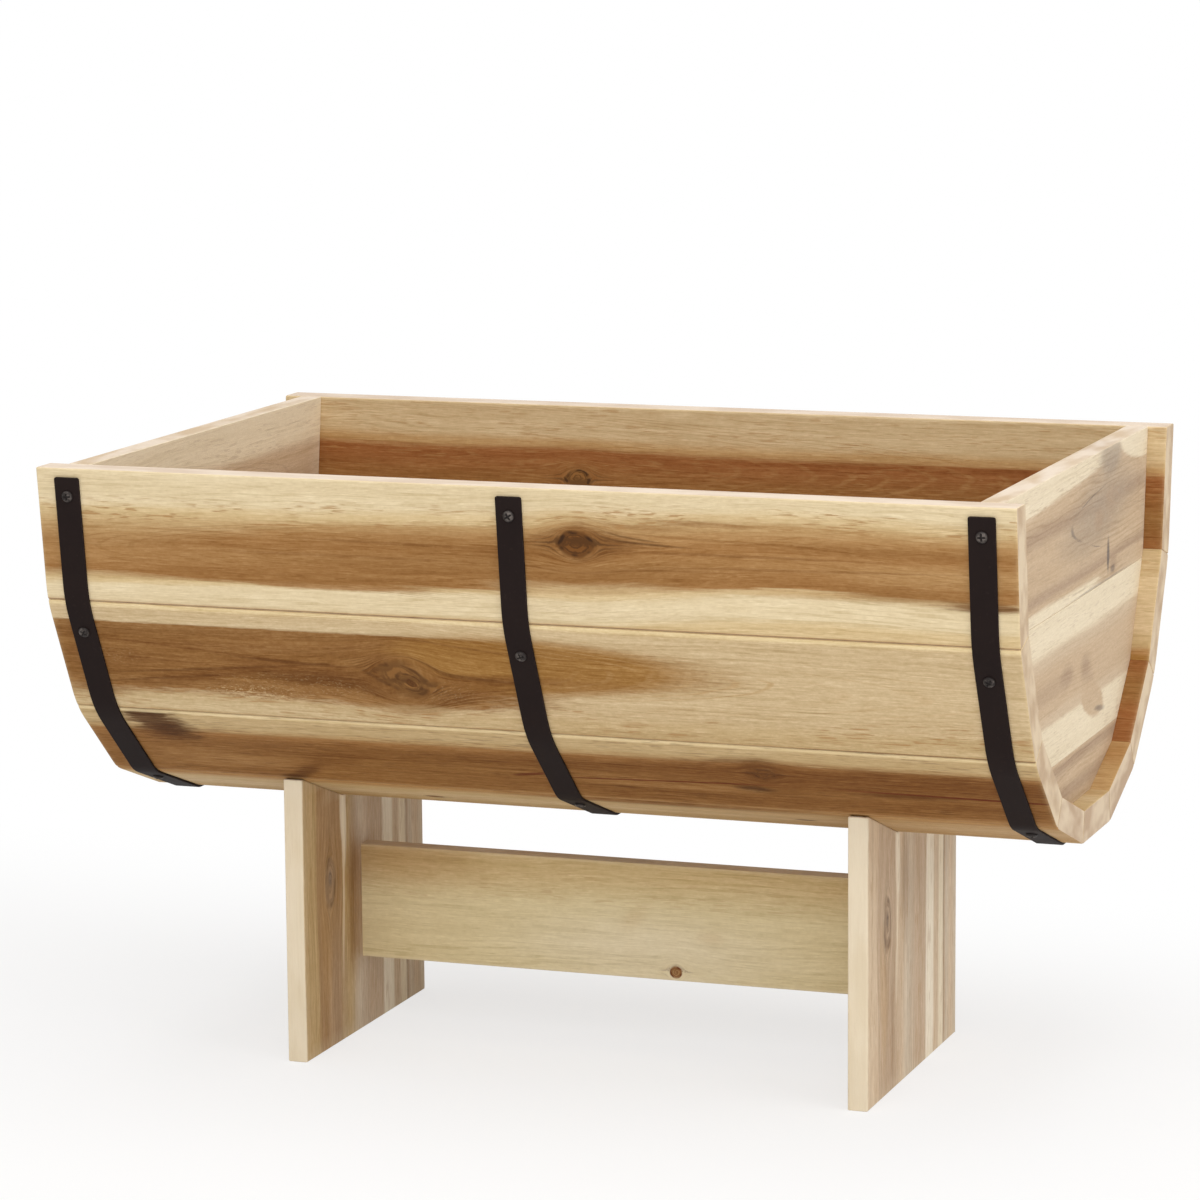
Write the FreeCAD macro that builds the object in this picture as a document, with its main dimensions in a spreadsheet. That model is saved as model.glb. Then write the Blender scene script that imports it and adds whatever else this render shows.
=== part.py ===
import FreeCAD, Part
import os
import Sketcher

# Half-barrel planter: nine mitred staves, two end boards let in between them, three bands
# bent round the outside, and two cradle legs joined by a stretcher.
# X runs along the barrel, Y across it, Z up. The origin is on the floor under the middle.

Vector = FreeCAD.Vector
tolerance = 0.001                # for telling edges apart by their ends
head_sides = 16                  # facets of the small screws and dowels, which repeat
shank_sides = 8
dowel_sides = 16

driving_sizes = {
    # Barrel
    "barrel_length": 600.0,      # staves, end to end
    "clear_height": 156.5,       # floor to the underside of the bottom stave
    "stave_thickness": 19.5,
    "bottom_width": 69.0,        # outer face of each stave, seam to seam
    "low_width": 65.6,
    "bilge_width": 71.3,
    "side_width": 79.9,
    "rim_width": 82.5,
    "low_angle": 19.4,           # degrees from level
    "bilge_angle": 42.1,
    "side_angle": 63.4,
    "rim_angle": 82.7,
    "seam_ease": 1.0,            # chamfer that makes the groove at each seam
    "rim_round": 1.5,            # top edges of the rim staves
    "drain_diameter": 12.0,
    "drain_near": 91.0,          # drain holes from the middle of the barrel
    "drain_far": 230.0,
    # End boards
    "end_setback": 12.0,         # stave ends to the outer face of the end board
    "end_thickness": 14.0,
    "upper_plank_width": 81.5,
    "lower_plank_width": 31.5,
    # Bands and their screws
    "band_width": 16.0,
    "band_thickness": 1.5,
    "band_setback": 12.0,        # stave ends to the edge of an end band
    "band_drop": 5.6,            # rim to the end of a band, along the rim stave
    "band_corner": 1.2,          # rounded corners of a band's ends
    "rim_screw_inset": 11.4,     # end of the band to its first screw
    "side_screw_along": 58.6,    # screw from the lower seam of its stave
    "low_screw_along": 46.0,
    "screw_shank": 3.2,
    "screw_head": 7.0,
    "screw_head_rim": 0.8,       # straight edge of the pan head
    "screw_head_crown": 1.2,     # slope above it
    "screw_bite": 13.0,          # length of an end band's screw in the end board
    "screw_cover": 5.0,          # wood left over the tip of a middle band's screw
    # Legs and stretcher
    "leg_gap": 348.0,            # between the inner faces of the legs
    "leg_thickness": 12.5,
    "leg_width": 196.0,
    "leg_ease": 0.8,
    "cradle_depth": 21.5,        # leg tips above the underside of the bottom stave
    "leg_screw_along": 33.0,     # screw from the lower seam of the low stave
    "leg_screw_shank": 4.0,
    "leg_screw_head": 8.0,
    "leg_screw_lip_height": 0.4, # straight edge above the countersunk cone
    "leg_screw_bite": 30.0,      # length of the screw in the leg
    "stretcher_rise": 46.4,      # floor to the underside of the stretcher
    "stretcher_height": 73.0,
    "stretcher_thickness": 13.0,
    "stretcher_ease": 0.8,
    "dowel_diameter": 6.0,
    "dowel_spacing": 40.0,
    "dowel_in_stretcher": 22.0,
    "dowel_cover": 4.5,          # leg left over the blind end of a dowel
    "bore_clearance": 0.1,       # round and past the end of screws and dowels
}

doc = FreeCAD.newDocument("half_barrel_planter")
sheet = doc.addObject("Spreadsheet::Sheet", "sizes")
for row, (name, size) in enumerate(driving_sizes.items(), start=1):
    sheet.set(f"A{row}", name)
    sheet.set(f"B{row}", str(size))
    sheet.setAlias(f"B{row}", name)
doc.recompute()

# Places worked out from the sizes
layout = doc.addObject("App::VarSet", "layout")


def derive(name, expression):
    layout.addProperty("App::PropertyFloat", name, "Layout")
    layout.setExpression(name, expression)


staves = ["bottom", "low", "bilge", "side", "rim"]
below = dict(zip(staves[1:], staves))
above = dict(zip(staves, staves[1:]))
slope = {name: f"sizes.{name}_angle" for name in staves[1:]}
slope["bottom"] = "0"

# Outer corners of the barrel's section: each stave's seam is its upper one
derive("bottom_seam_y", "sizes.bottom_width / 2")
derive("bottom_seam_z", "sizes.clear_height")
for name in staves[1:]:
    derive(f"{name}_seam_y", f"{below[name]}_seam_y + sizes.{name}_width * cos({slope[name]})")
    derive(f"{name}_seam_z", f"{below[name]}_seam_z + sizes.{name}_width * sin({slope[name]})")

# Mitres, half the turn at each seam; the rim is cut level
for name in staves[:-1]:
    derive(f"{name}_mitre", f"({slope[above[name]]} - {slope[name]}) / 2")
derive("rim_mitre", "90 - sizes.rim_angle")


def derive_offset(label, name, depth):
    bearing = f"({slope[name]} + {name}_mitre)"
    reach = f"({depth}) / cos({name}_mitre)"
    derive(f"{name}_{label}_y", f"{name}_seam_y - {reach} * sin({bearing})")
    derive(f"{name}_{label}_z", f"{name}_seam_z + {reach} * cos({bearing})")


# Inner corners of the barrel, and the outer corners of a band
for name in staves:
    derive_offset("inner", name, "sizes.stave_thickness")
for name in staves[:-1]:
    derive_offset("band", name, "-sizes.band_thickness")
derive("band_end", "sizes.rim_width - sizes.band_drop")
derive("band_end_y", f"side_seam_y + band_end * cos({slope['rim']})")
derive("band_end_z", f"side_seam_z + band_end * sin({slope['rim']})")
derive("band_tip_y", f"band_end_y + sizes.band_thickness * sin({slope['rim']})")
derive("band_tip_z", f"band_end_z - sizes.band_thickness * cos({slope['rim']})")
derive("band_bend", "sizes.seam_ease / tan(max(bottom_mitre; low_mitre; bilge_mitre; side_mitre))")

derive("band_x", "sizes.barrel_length / 2 - sizes.band_setback - sizes.band_width / 2")
derive("end_x", "sizes.barrel_length / 2 - sizes.end_setback - sizes.end_thickness")
derive("leg_x", "sizes.leg_gap / 2")
derive("leg_middle_x", "leg_x + sizes.leg_thickness / 2")
derive("screw_head_height", "sizes.screw_head_rim + sizes.screw_head_crown")
derive("end_screw_length", "sizes.band_thickness + sizes.stave_thickness + sizes.screw_bite")
derive("middle_screw_length", "sizes.band_thickness + sizes.stave_thickness - sizes.screw_cover")
derive("leg_screw_length", "sizes.stave_thickness + sizes.leg_screw_bite")
derive("dowel_x", "leg_x - sizes.dowel_in_stretcher")
derive("dowel_length", "sizes.dowel_in_stretcher + sizes.leg_thickness - sizes.dowel_cover")
doc.recompute()

nodes = {}


def value(expression):
    return float(layout.evalExpression(expression))


def bind(piece, bindings):
    for target, expression in bindings.items():
        piece.setExpression(target, expression)


def node(piece, label, solids=1):
    piece.Label = label
    nodes[label] = (piece, solids)
    return piece


def outline(body, role, points):
    """Closed outline of straight lines through points given as pairs of expressions."""
    sketch = body.newObject("Sketcher::SketchObject", f"{body.Name}_outline")
    plane = next(item for item in body.Origin.OriginFeatures if item.Role == role)
    sketch.AttachmentSupport = [(plane, "")]
    sketch.MapMode = "FlatFace"
    corners = [Vector(value(across), value(up), 0) for across, up in points]
    for start, end in zip(corners, corners[1:] + corners[:1]):
        sketch.addGeometry(Part.LineSegment(start, end), False)
    for index, (corner, (across, up)) in enumerate(zip(corners, points)):
        following = (index + 1) % len(corners)
        sketch.addConstraint(Sketcher.Constraint("Coincident", index, 2, following, 1))
        for kind, axis, expression, size in (
            ("DistanceX", -2, across, corner.x),
            ("DistanceY", -1, up, corner.y),
        ):
            if expression == "0":
                sketch.addConstraint(Sketcher.Constraint("PointOnObject", index, 1, axis))
                continue
            place = sketch.addConstraint(Sketcher.Constraint(kind, -1, 1, index, 1, size))
            sketch.setExpression(f"Constraints[{place}]", expression)
    return sketch


def padded(name, role, points, length, symmetric=False):
    body = doc.addObject("PartDesign::Body", name)
    pad = body.newObject("PartDesign::Pad", f"{name}_pad")
    pad.Profile = outline(body, role, points)
    pad.SideType = "Symmetric" if symmetric else "One side"
    pad.setExpression("Length", length)
    doc.recompute()
    return body


def mirror_body(body):
    """Completes a body drawn as the half on the +Y side."""
    half = body.Tip
    mirrored = body.newObject("PartDesign::Mirrored", f"{body.Name}_mirrored")
    mirrored.Originals = [half]
    plane = next(item for item in body.Origin.OriginFeatures if item.Role == "XZ_Plane")
    mirrored.MirrorPlane = (plane, [""])
    body.Tip = mirrored
    doc.recompute()


def dress(body, kind, size, chosen):
    """Rounds or chamfers the edges of the body so far that are chosen by their two ends."""
    base = body.Tip
    picked = []
    for index, edge in enumerate(base.Shape.Edges, start=1):
        ends = [vertex.Point for vertex in edge.Vertexes]
        if chosen(ends[0], ends[-1]):
            picked.append(f"Edge{index}")
    feature = body.newObject(f"PartDesign::{kind}", f"{body.Name}_{kind.lower()}")
    feature.Base = (base, picked)
    feature.setExpression("Radius" if kind == "Fillet" else "Size", size)
    doc.recompute()


def runs_along_x(start, end):
    return abs((end - start).normalize().x) > 1 - tolerance if start != end else False


def mirror(piece, normal):
    copy = doc.addObject("Part::Mirroring", f"{piece.Name}_mirror")
    copy.Source = piece
    copy.Normal = normal
    return copy


def front(piece):
    return mirror(piece, Vector(0, 1, 0))


def left(piece):
    return mirror(piece, Vector(1, 0, 0))


def group(name, pieces):
    compound = doc.addObject("Part::Compound", name)
    compound.Links = pieces
    return compound


def bored(piece, name, bores):
    result = doc.addObject("Part::Cut", name)
    result.Base = piece
    result.Tool = group(f"{name}_bores", bores)
    return result


def seat(piece, stave, along, x="0", out="0", turn="0"):
    """Sets a piece on a stave's outer face, its Z into the wood unless it is turned."""
    foot_y = f"layout.{below[stave]}_seam_y" if stave in below else "-layout.bottom_seam_y"
    foot_z = f"layout.{below[stave]}_seam_z" if stave in below else "layout.bottom_seam_z"
    angle = slope[stave]
    piece.Placement = FreeCAD.Placement(Vector(0, 0, 0), FreeCAD.Rotation(Vector(1, 0, 0), 0))
    bind(piece, {
        "Placement.Base.x": x,
        "Placement.Base.y": f"{foot_y} + ({along}) * cos({angle}) + ({out}) * sin({angle})",
        "Placement.Base.z": f"{foot_z} + ({along}) * sin({angle}) - ({out}) * cos({angle})",
        "Placement.Rotation.Angle": f"{angle} + {turn}",
    })


def add_prism(body, sides, diameter, length, start="0"):
    prism = body.newObject("PartDesign::AdditivePrism", f"{body.Name}_prism")
    prism.Polygon = sides
    bind(prism, {
        "Circumradius": f"({diameter}) / 2",
        "Height": length,
        "Placement.Base.z": start,
    })
    doc.recompute()


def cylinder(name, diameter, length):
    bore = doc.addObject("Part::Cylinder", name)
    bind(bore, {"Radius": f"({diameter}) / 2", "Height": length})
    return bore


def at_height(expression):
    def chosen(start, end):
        return max(abs(point.z - value(expression)) for point in (start, end)) < tolerance

    return chosen


# Screws of the bands, with the bores that they take up

screw_along = {
    "rim": "layout.band_end - sizes.rim_screw_inset",
    "side": "sizes.side_screw_along",
    "low": "sizes.low_screw_along",
}
band_places = {"end": "layout.band_x", "middle": "0"}


def band_screw(name, length):
    screw = doc.addObject("PartDesign::Body", name)
    add_prism(screw, head_sides, "sizes.screw_head", "layout.screw_head_height")
    dress(screw, "Chamfer", "sizes.screw_head_crown", at_height("0"))
    add_prism(screw, shank_sides, "sizes.screw_shank", length, "layout.screw_head_height")
    return screw


def band_screw_bore(name, length):
    bore = doc.addObject("PartDesign::Body", name)
    diameter = "sizes.screw_shank + 2 * sizes.bore_clearance"
    add_prism(bore, shank_sides, diameter, f"{length} + sizes.bore_clearance")
    return bore


screws = {"end": [], "middle": []}
bores = {"end": {}, "middle": {}}
for band, x in band_places.items():
    length = f"layout.{band}_screw_length"
    for stave, along in screw_along.items():
        screw = band_screw(f"{band}_{stave}_screw", length)
        seat(screw, stave, along, x, "sizes.band_thickness + layout.screw_head_height")
        screws[band].append(screw)
        bore = band_screw_bore(f"{band}_{stave}_bore", length)
        seat(bore, stave, along, x, "sizes.band_thickness")
        bores[band][stave] = bore
both_sides = {
    band: list(of_band.values()) + [front(bore) for bore in of_band.values()]
    for band, of_band in bores.items()
}

screws_right = group("screws_right", screws["end"] + [front(screw) for screw in screws["end"]])
screws_middle = group("screws_middle", screws["middle"] + [front(screw) for screw in screws["middle"]])
node(screws_right, "band_screws_right", 6)
node(screws_middle, "band_screws_middle", 6)
node(left(screws_right), "band_screws_left", 6)

# Screws that hold the legs, driven from inside the barrel with their heads flush


def countersunk(name, grow):
    screw = doc.addObject("PartDesign::Body", name)
    cone = "(sizes.leg_screw_head - sizes.leg_screw_shank) / 2"
    head_height = f"sizes.leg_screw_lip_height + {grow} + {cone}"
    add_prism(screw, head_sides, f"sizes.leg_screw_head + 2 * {grow}", head_height)
    dress(screw, "Chamfer", cone, at_height(head_height))
    shank = f"sizes.leg_screw_shank + 2 * {grow}"
    add_prism(screw, shank_sides, shank, f"layout.leg_screw_length + {grow}")
    return screw


leg_screw = countersunk("leg_screw", "0")
leg_bore = countersunk("leg_bore", "sizes.bore_clearance")
for piece in (leg_screw, leg_bore):
    seat(piece, "low", "sizes.leg_screw_along", "layout.leg_middle_x", "-sizes.stave_thickness", "180")
leg_screws_right = group("leg_screws_right", [leg_screw, front(leg_screw)])
node(group("leg_screws_all", [leg_screws_right, left(leg_screws_right)]), "leg_screws", 4)

# Staves, each drawn with its outer face down and set at its slope


def stave_body(stave):
    lower = f"layout.{below.get(stave, stave)}_mitre"
    upper = f"layout.{stave}_mitre"
    width = f"sizes.{stave}_width"
    body = padded(f"{stave}_stave", "YZ_Plane", [
        ("0", "0"),
        (width, "0"),
        (f"{width} - sizes.stave_thickness * tan({upper})", "sizes.stave_thickness"),
        (f"sizes.stave_thickness * tan({lower})", "sizes.stave_thickness"),
    ], "sizes.barrel_length", symmetric=True)

    def at_rim(start, end):
        return stave == "rim" and runs_along_x(start, end) and start.y > value(width) / 2

    def at_seam(start, end):
        return runs_along_x(start, end) and abs(start.z) < tolerance and not at_rim(start, end)

    dress(body, "Chamfer", "sizes.seam_ease", at_seam)
    if stave == "rim":
        dress(body, "Fillet", "sizes.rim_round", at_rim)
    seat(body, stave, "0")
    return body


stave_bores = {
    stave: [bores["end"][stave], left(bores["end"][stave]), bores["middle"][stave]]
    for stave in screw_along
}
stave_bores["low"] += [leg_bore, left(leg_bore)]

drains = []
for place in ("near", "far"):
    drain = cylinder(f"drain_{place}", "sizes.drain_diameter", "sizes.stave_thickness")
    bind(drain, {"Placement.Base.x": f"sizes.drain_{place}", "Placement.Base.z": "sizes.clear_height"})
    drains += [drain, left(drain)]
node(bored(stave_body("bottom"), "bottom_bored", drains), "stave_bottom")

for stave in staves[1:]:
    piece = stave_body(stave)
    if stave in stave_bores:
        piece = bored(piece, f"{stave}_bored", stave_bores[stave])
    node(piece, f"stave_{stave}_back")
    node(front(piece), f"stave_{stave}_front")

# End boards, glued up from three planks inside the staves

end_board = padded("end_board", "YZ_Plane", [
    ("0", "layout.bottom_inner_z"),
    *((f"layout.{stave}_inner_y", f"layout.{stave}_inner_z") for stave in staves),
    ("0", "layout.rim_inner_z"),
], "sizes.end_thickness")
mirror_body(end_board)
end_board.setExpression("Placement.Base.x", "layout.end_x")

upper_joint = "(layout.rim_inner_z - sizes.upper_plank_width)"
lower_joint = "(layout.bottom_inner_z + sizes.lower_plank_width)"
plank_reach = {
    "upper": (upper_joint, "layout.rim_inner_z"),
    "middle": (lower_joint, upper_joint),
    "lower": ("layout.bottom_inner_z", lower_joint),
}
for plank, (bottom, top) in plank_reach.items():
    blank = doc.addObject("Part::Box", f"{plank}_blank")
    bind(blank, {
        "Length": "sizes.end_thickness",
        "Width": "2 * layout.rim_seam_y",
        "Height": f"{top} - {bottom}",
        "Placement.Base.x": "layout.end_x",
        "Placement.Base.y": "-layout.rim_seam_y",
        "Placement.Base.z": bottom,
    })
    shaped = doc.addObject("Part::Common", f"{plank}_plank")
    shaped.Base = end_board
    shaped.Tool = blank
    piece = bored(shaped, f"{plank}_plank_bored", both_sides["end"])
    node(piece, f"end_plank_{plank}_right")
    node(left(piece), f"end_plank_{plank}_left")

# Bands, bent over the eased seams

band_inside = [("0", "layout.bottom_seam_z")]
band_inside += [(f"layout.{stave}_seam_y", f"layout.{stave}_seam_z") for stave in staves[:-1]]
band_outside = [(f"layout.{stave}_band_y", f"layout.{stave}_band_z") for stave in reversed(staves[:-1])]
band_outline = [
    *band_inside,
    ("layout.band_end_y", "layout.band_end_z"),
    ("layout.band_tip_y", "layout.band_tip_z"),
    *band_outside,
    ("0", "layout.bottom_seam_z - sizes.band_thickness"),
]


def bent_band(name, x):
    body = padded(name, "YZ_Plane", band_outline, "sizes.band_width", symmetric=True)
    mirror_body(body)
    rim_foot = value("layout.side_seam_z")

    def on_seam(label):
        heights = [value(f"layout.{stave}_{label}_z") for stave in staves[:-1]]
        breadths = [value(f"layout.{stave}_{label}_y") for stave in staves[:-1]]

        def chosen(start, end):
            misses = [abs(start.z - z) + abs(abs(start.y) - y) for y, z in zip(breadths, heights)]
            return runs_along_x(start, end) and min(misses) < tolerance

        return chosen

    def at_tip(start, end):
        across_thickness = abs(start.distanceToPoint(end) - value("sizes.band_thickness")) < tolerance
        return across_thickness and min(start.z, end.z) > rim_foot

    dress(body, "Fillet", "layout.band_bend", on_seam("seam"))
    dress(body, "Fillet", "layout.band_bend + sizes.band_thickness", on_seam("band"))
    dress(body, "Fillet", "sizes.band_corner", at_tip)
    body.setExpression("Placement.Base.x", x)
    return body


end_band = bored(bent_band("end_band", "layout.band_x"), "end_band_bored", both_sides["end"])
node(end_band, "band_right")
node(left(end_band), "band_left")
node(bored(bent_band("middle_band", "0"), "middle_band_bored", both_sides["middle"]), "band_middle")

# Legs, cut to the outside of the barrel, and the stretcher doweled between them

envelope = padded("envelope", "YZ_Plane", [
    ("0", "layout.bottom_seam_z"),
    *((f"layout.{stave}_seam_y", f"layout.{stave}_seam_z") for stave in staves),
    ("0", "layout.rim_seam_z"),
], "sizes.barrel_length", symmetric=True)
mirror_body(envelope)

dowels = []
dowel_bores = []
for place, side in (("lower", "-"), ("upper", "+")):
    dowel = doc.addObject("PartDesign::Body", f"{place}_dowel")
    bore = doc.addObject("PartDesign::Body", f"{place}_dowel_bore")
    height = f"sizes.stretcher_rise + sizes.stretcher_height / 2 {side} sizes.dowel_spacing / 2"
    for piece, grow in ((dowel, "0"), (bore, "sizes.bore_clearance")):
        diameter = f"sizes.dowel_diameter + 2 * {grow}"
        add_prism(piece, dowel_sides, diameter, f"layout.dowel_length + 2 * {grow}")
        start = f"layout.dowel_x - {grow}"
        piece.Placement = FreeCAD.Placement(Vector(0, 0, 0), FreeCAD.Rotation(Vector(0, 1, 0), 90))
        bind(piece, {"Placement.Base.x": start, "Placement.Base.z": height})
    dowels += [dowel, left(dowel)]
    dowel_bores += [bore, left(bore)]
node(group("dowels", dowels), "stretcher_dowels", 4)

leg_blank = padded("leg_blank", "XY_Plane", [
    ("0", "0"),
    ("sizes.leg_thickness", "0"),
    ("sizes.leg_thickness", "sizes.leg_width"),
    ("0", "sizes.leg_width"),
], "sizes.clear_height + sizes.cradle_depth")
dress(leg_blank, "Chamfer", "sizes.leg_ease", lambda start, end: min(start.z, end.z) < tolerance)
bind(leg_blank, {"Placement.Base.x": "layout.leg_x", "Placement.Base.y": "-sizes.leg_width / 2"})
cradle = doc.addObject("Part::Cut", "cradle")
cradle.Base = leg_blank
cradle.Tool = envelope
leg = node(bored(cradle, "leg", [leg_bore, front(leg_bore)] + dowel_bores), "leg_right")
node(left(leg), "leg_left")

rail = padded("rail", "YZ_Plane", [
    ("0", "0"),
    ("sizes.stretcher_thickness", "0"),
    ("sizes.stretcher_thickness", "sizes.stretcher_height"),
    ("0", "sizes.stretcher_height"),
], "sizes.leg_gap", symmetric=True)
dress(rail, "Chamfer", "sizes.stretcher_ease", runs_along_x)
bind(rail, {
    "Placement.Base.y": "-sizes.stretcher_thickness / 2",
    "Placement.Base.z": "sizes.stretcher_rise",
})
node(bored(rail, "rail_bored", dowel_bores), "stretcher")

doc.recompute()

for item in doc.Objects:
    if "Invalid" in item.State or "Error" in item.State:
        raise RuntimeError(f"{item.Label} did not build")
for label, (piece, solids) in nodes.items():
    shape = piece.Shape
    if shape.isNull() or not shape.isValid() or len(shape.Solids) != solids:
        raise RuntimeError(f"{label} is not {solids} sound solids")

os.makedirs("parts", exist_ok=True)
for label, (piece, solids) in nodes.items():
    piece.Shape.exportStep(f"parts/{label}.step")
print(f"{len(nodes)} nodes written")
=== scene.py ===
import math
import random
from functools import partial

import bmesh
import bpy
from mathutils import Matrix, Vector


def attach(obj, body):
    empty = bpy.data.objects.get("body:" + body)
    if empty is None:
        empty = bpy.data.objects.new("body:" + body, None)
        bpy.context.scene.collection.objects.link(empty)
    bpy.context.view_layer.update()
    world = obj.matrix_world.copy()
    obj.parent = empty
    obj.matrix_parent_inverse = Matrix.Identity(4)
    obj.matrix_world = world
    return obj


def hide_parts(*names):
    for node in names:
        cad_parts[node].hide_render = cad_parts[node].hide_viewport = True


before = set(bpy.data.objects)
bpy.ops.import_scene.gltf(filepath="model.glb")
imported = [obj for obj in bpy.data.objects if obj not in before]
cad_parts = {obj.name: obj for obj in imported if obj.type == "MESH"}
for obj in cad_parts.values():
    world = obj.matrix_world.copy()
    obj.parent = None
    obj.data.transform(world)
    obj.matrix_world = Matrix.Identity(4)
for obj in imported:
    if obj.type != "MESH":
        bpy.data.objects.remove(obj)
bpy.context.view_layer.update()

scene = bpy.context.scene
mm = 0.001  # sizes below are in millimetres, Blender is in metres


def tone(red, green, blue):  # colour as seen on screen, to the linear one that nodes use
    def linear(value):
        value /= 255
        return value / 12.92 if value <= 0.04045 else ((value + 0.055) / 1.055) ** 2.4
    return (linear(red), linear(green), linear(blue), 1.0)


# Node helpers. They wire the node tree that lies on the bench

bench = {"tree": None}
vectorSockets = ("Grain", "Centre", "Flow", "Apex", "Axis")


def feed(socket, value):
    if isinstance(value, bpy.types.NodeSocket):
        bench["tree"].links.new(value, socket)
    else:
        socket.default_value = value


def addNode(kind, inputs=None, **settings):
    node = bench["tree"].nodes.new(kind)
    for name, value in settings.items():
        setattr(node, name, value)
    for name, value in (inputs or {}).items():
        feed(node.inputs[name], value)
    return node


def calc(operation, *values):
    return addNode("ShaderNodeMath", dict(enumerate(values)), operation=operation).outputs[0]


plus, minus, times, over, timesPlus, larger, unsigned = (
    partial(calc, operation)
    for operation in ("ADD", "SUBTRACT", "MULTIPLY", "DIVIDE", "MULTIPLY_ADD", "MAXIMUM", "ABSOLUTE")
)


def vectorCalc(operation, *values):
    node = addNode("ShaderNodeVectorMath", dict(enumerate(values)), operation=operation)
    return node.outputs["Value" if operation in ("LENGTH", "DOT_PRODUCT") else "Vector"]


def stretch(vector, x, y, z):
    return vectorCalc("MULTIPLY", vector, (x, y, z))


def ease(value, low, high):  # 0 at low, 1 at high, soft between
    inputs = {"Value": value, "From Min": low, "From Max": high}
    return addNode("ShaderNodeMapRange", inputs, interpolation_type="SMOOTHSTEP").outputs["Result"]


def mixColours(factor, first, second):
    return addNode("ShaderNodeMix", {0: factor, 6: first, 7: second}, data_type="RGBA").outputs[2]


def split(vector):
    return addNode("ShaderNodeSeparateXYZ", {"Vector": vector}).outputs


def join(x, y, z):
    return addNode("ShaderNodeCombineXYZ", {"X": x, "Y": y, "Z": z}).outputs["Vector"]


def attribute(name, output):
    return addNode("ShaderNodeAttribute", attribute_name=name).outputs[output]


def cloud(vector, detail=2.0, roughness=0.5):
    inputs = {"Vector": vector, "Scale": 1.0, "Detail": detail, "Roughness": roughness}
    return addNode("ShaderNodeTexNoise", inputs).outputs["Fac"]


def grainCloud(grain, seed, alongSize, acrossSize, detail=2.0, roughness=0.5):
    along, across, depth = split(grain)
    cells = join(
        timesPlus(along, 1 / alongSize, times(seed, 3.7)),
        over(across, acrossSize),
        timesPlus(depth, 1 / acrossSize, seed),
    )
    return cloud(cells, detail, roughness)


def swing(fac, amount):  # noise of 0 to 1 turned into plus or minus amount
    return times(timesPlus(fac, 2.0, -1.0), amount)


def offsetFrom(ins, centre):  # how far a place is from a centre, along and across the leaning grain
    along, across = split(vectorCalc("SUBTRACT", ins["Grain"], ins[centre]))[:2]
    return along, minus(across, times(along, ins["Lean"]))


def ovalReach(offset, ins):  # 0 in the middle of an oval, 1 on its edge, squared
    along, across = over(offset[0], ins["Half Length"]), over(offset[1], ins["Half Width"])
    return timesPlus(along, along, times(across, across))


def newGroup(name, inputs, outputs):
    tree = bpy.data.node_groups.new(name, "ShaderNodeTree")
    for way, labels in (("INPUT", inputs), ("OUTPUT", outputs)):
        for label in labels:
            kind = "Color" if label.endswith("Color") else "Vector" if label in vectorSockets else "Float"
            tree.interface.new_socket(label, in_out=way, socket_type="NodeSocket" + kind)
    bench["tree"] = tree
    return tree, tree.nodes.new("NodeGroupInput").outputs, tree.nodes.new("NodeGroupOutput").inputs


def placed(group, inputs):  # a shared effect, set into a material
    return addNode("ShaderNodeGroup", inputs, node_tree=group).outputs


def clearTree(owner):  # an empty tree of a material or world, on the bench
    owner.use_nodes = True
    owner.node_tree.nodes.clear()
    bench["tree"] = owner.node_tree
    return owner


def coatSurface(colour, roughness, height, look):  # the shader itself, and the way out of the material
    bump = addNode(
        "ShaderNodeBump", {"Height": height, "Strength": look["bump"], "Distance": look["bumpDepth"]},
    )
    shader = addNode("ShaderNodeBsdfPrincipled", {
        "Base Color": colour, "Roughness": roughness, "Normal": bump.outputs["Normal"],
        "Specular IOR Level": look["shine"],
    })
    addNode("ShaderNodeOutputMaterial", {"Surface": shader.outputs["BSDF"]})


# Shared effects of the wood. Grain is a place in the board in millimetres: along, across, depth

def makeGrainFlow():  # the grain parts and passes round a knot
    tree, ins, outs = newGroup(
        "grainFlow",
        ["Grain", "Centre", "Half Length", "Half Width", "Pull"],
        ["Grain"],
    )
    offset = split(vectorCalc("SUBTRACT", ins["Grain"], ins["Centre"]))
    share = over(ins["Pull"], larger(ovalReach(offset, ins), 1.0))
    along, across, depth = split(ins["Grain"])
    bent = minus(across, times(offset[1], share))
    feed(outs["Grain"], join(along, bent, depth))
    return tree


def makeGrainWander():  # slow drift of the bands, one local swell and ragged streaks along their edges
    tree, ins, outs = newGroup(
        "grainWander",
        ["Grain", "Lean", "Drift", "Ragged", "Swell", "Swell Place", "Swell Reach", "Seed"],
        ["Grain"],
    )
    along, across, depth = split(ins["Grain"])
    drift = swing(grainCloud(ins["Grain"], ins["Seed"], 190.0, 60.0, 1.0), ins["Drift"])
    later = plus(ins["Seed"], 11.0)
    ragged = swing(grainCloud(ins["Grain"], later, 48.0, 1.5, 3.0, 0.6), ins["Ragged"])
    fromSwell = unsigned(minus(along, ins["Swell Place"]))
    swell = times(ease(fromSwell, ins["Swell Reach"], 0.0), ins["Swell"])
    leaned = timesPlus(along, ins["Lean"], plus(across, swell))
    moved = plus(leaned, plus(drift, ragged))
    feed(outs["Grain"], join(along, moved, depth))
    return tree


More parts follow.
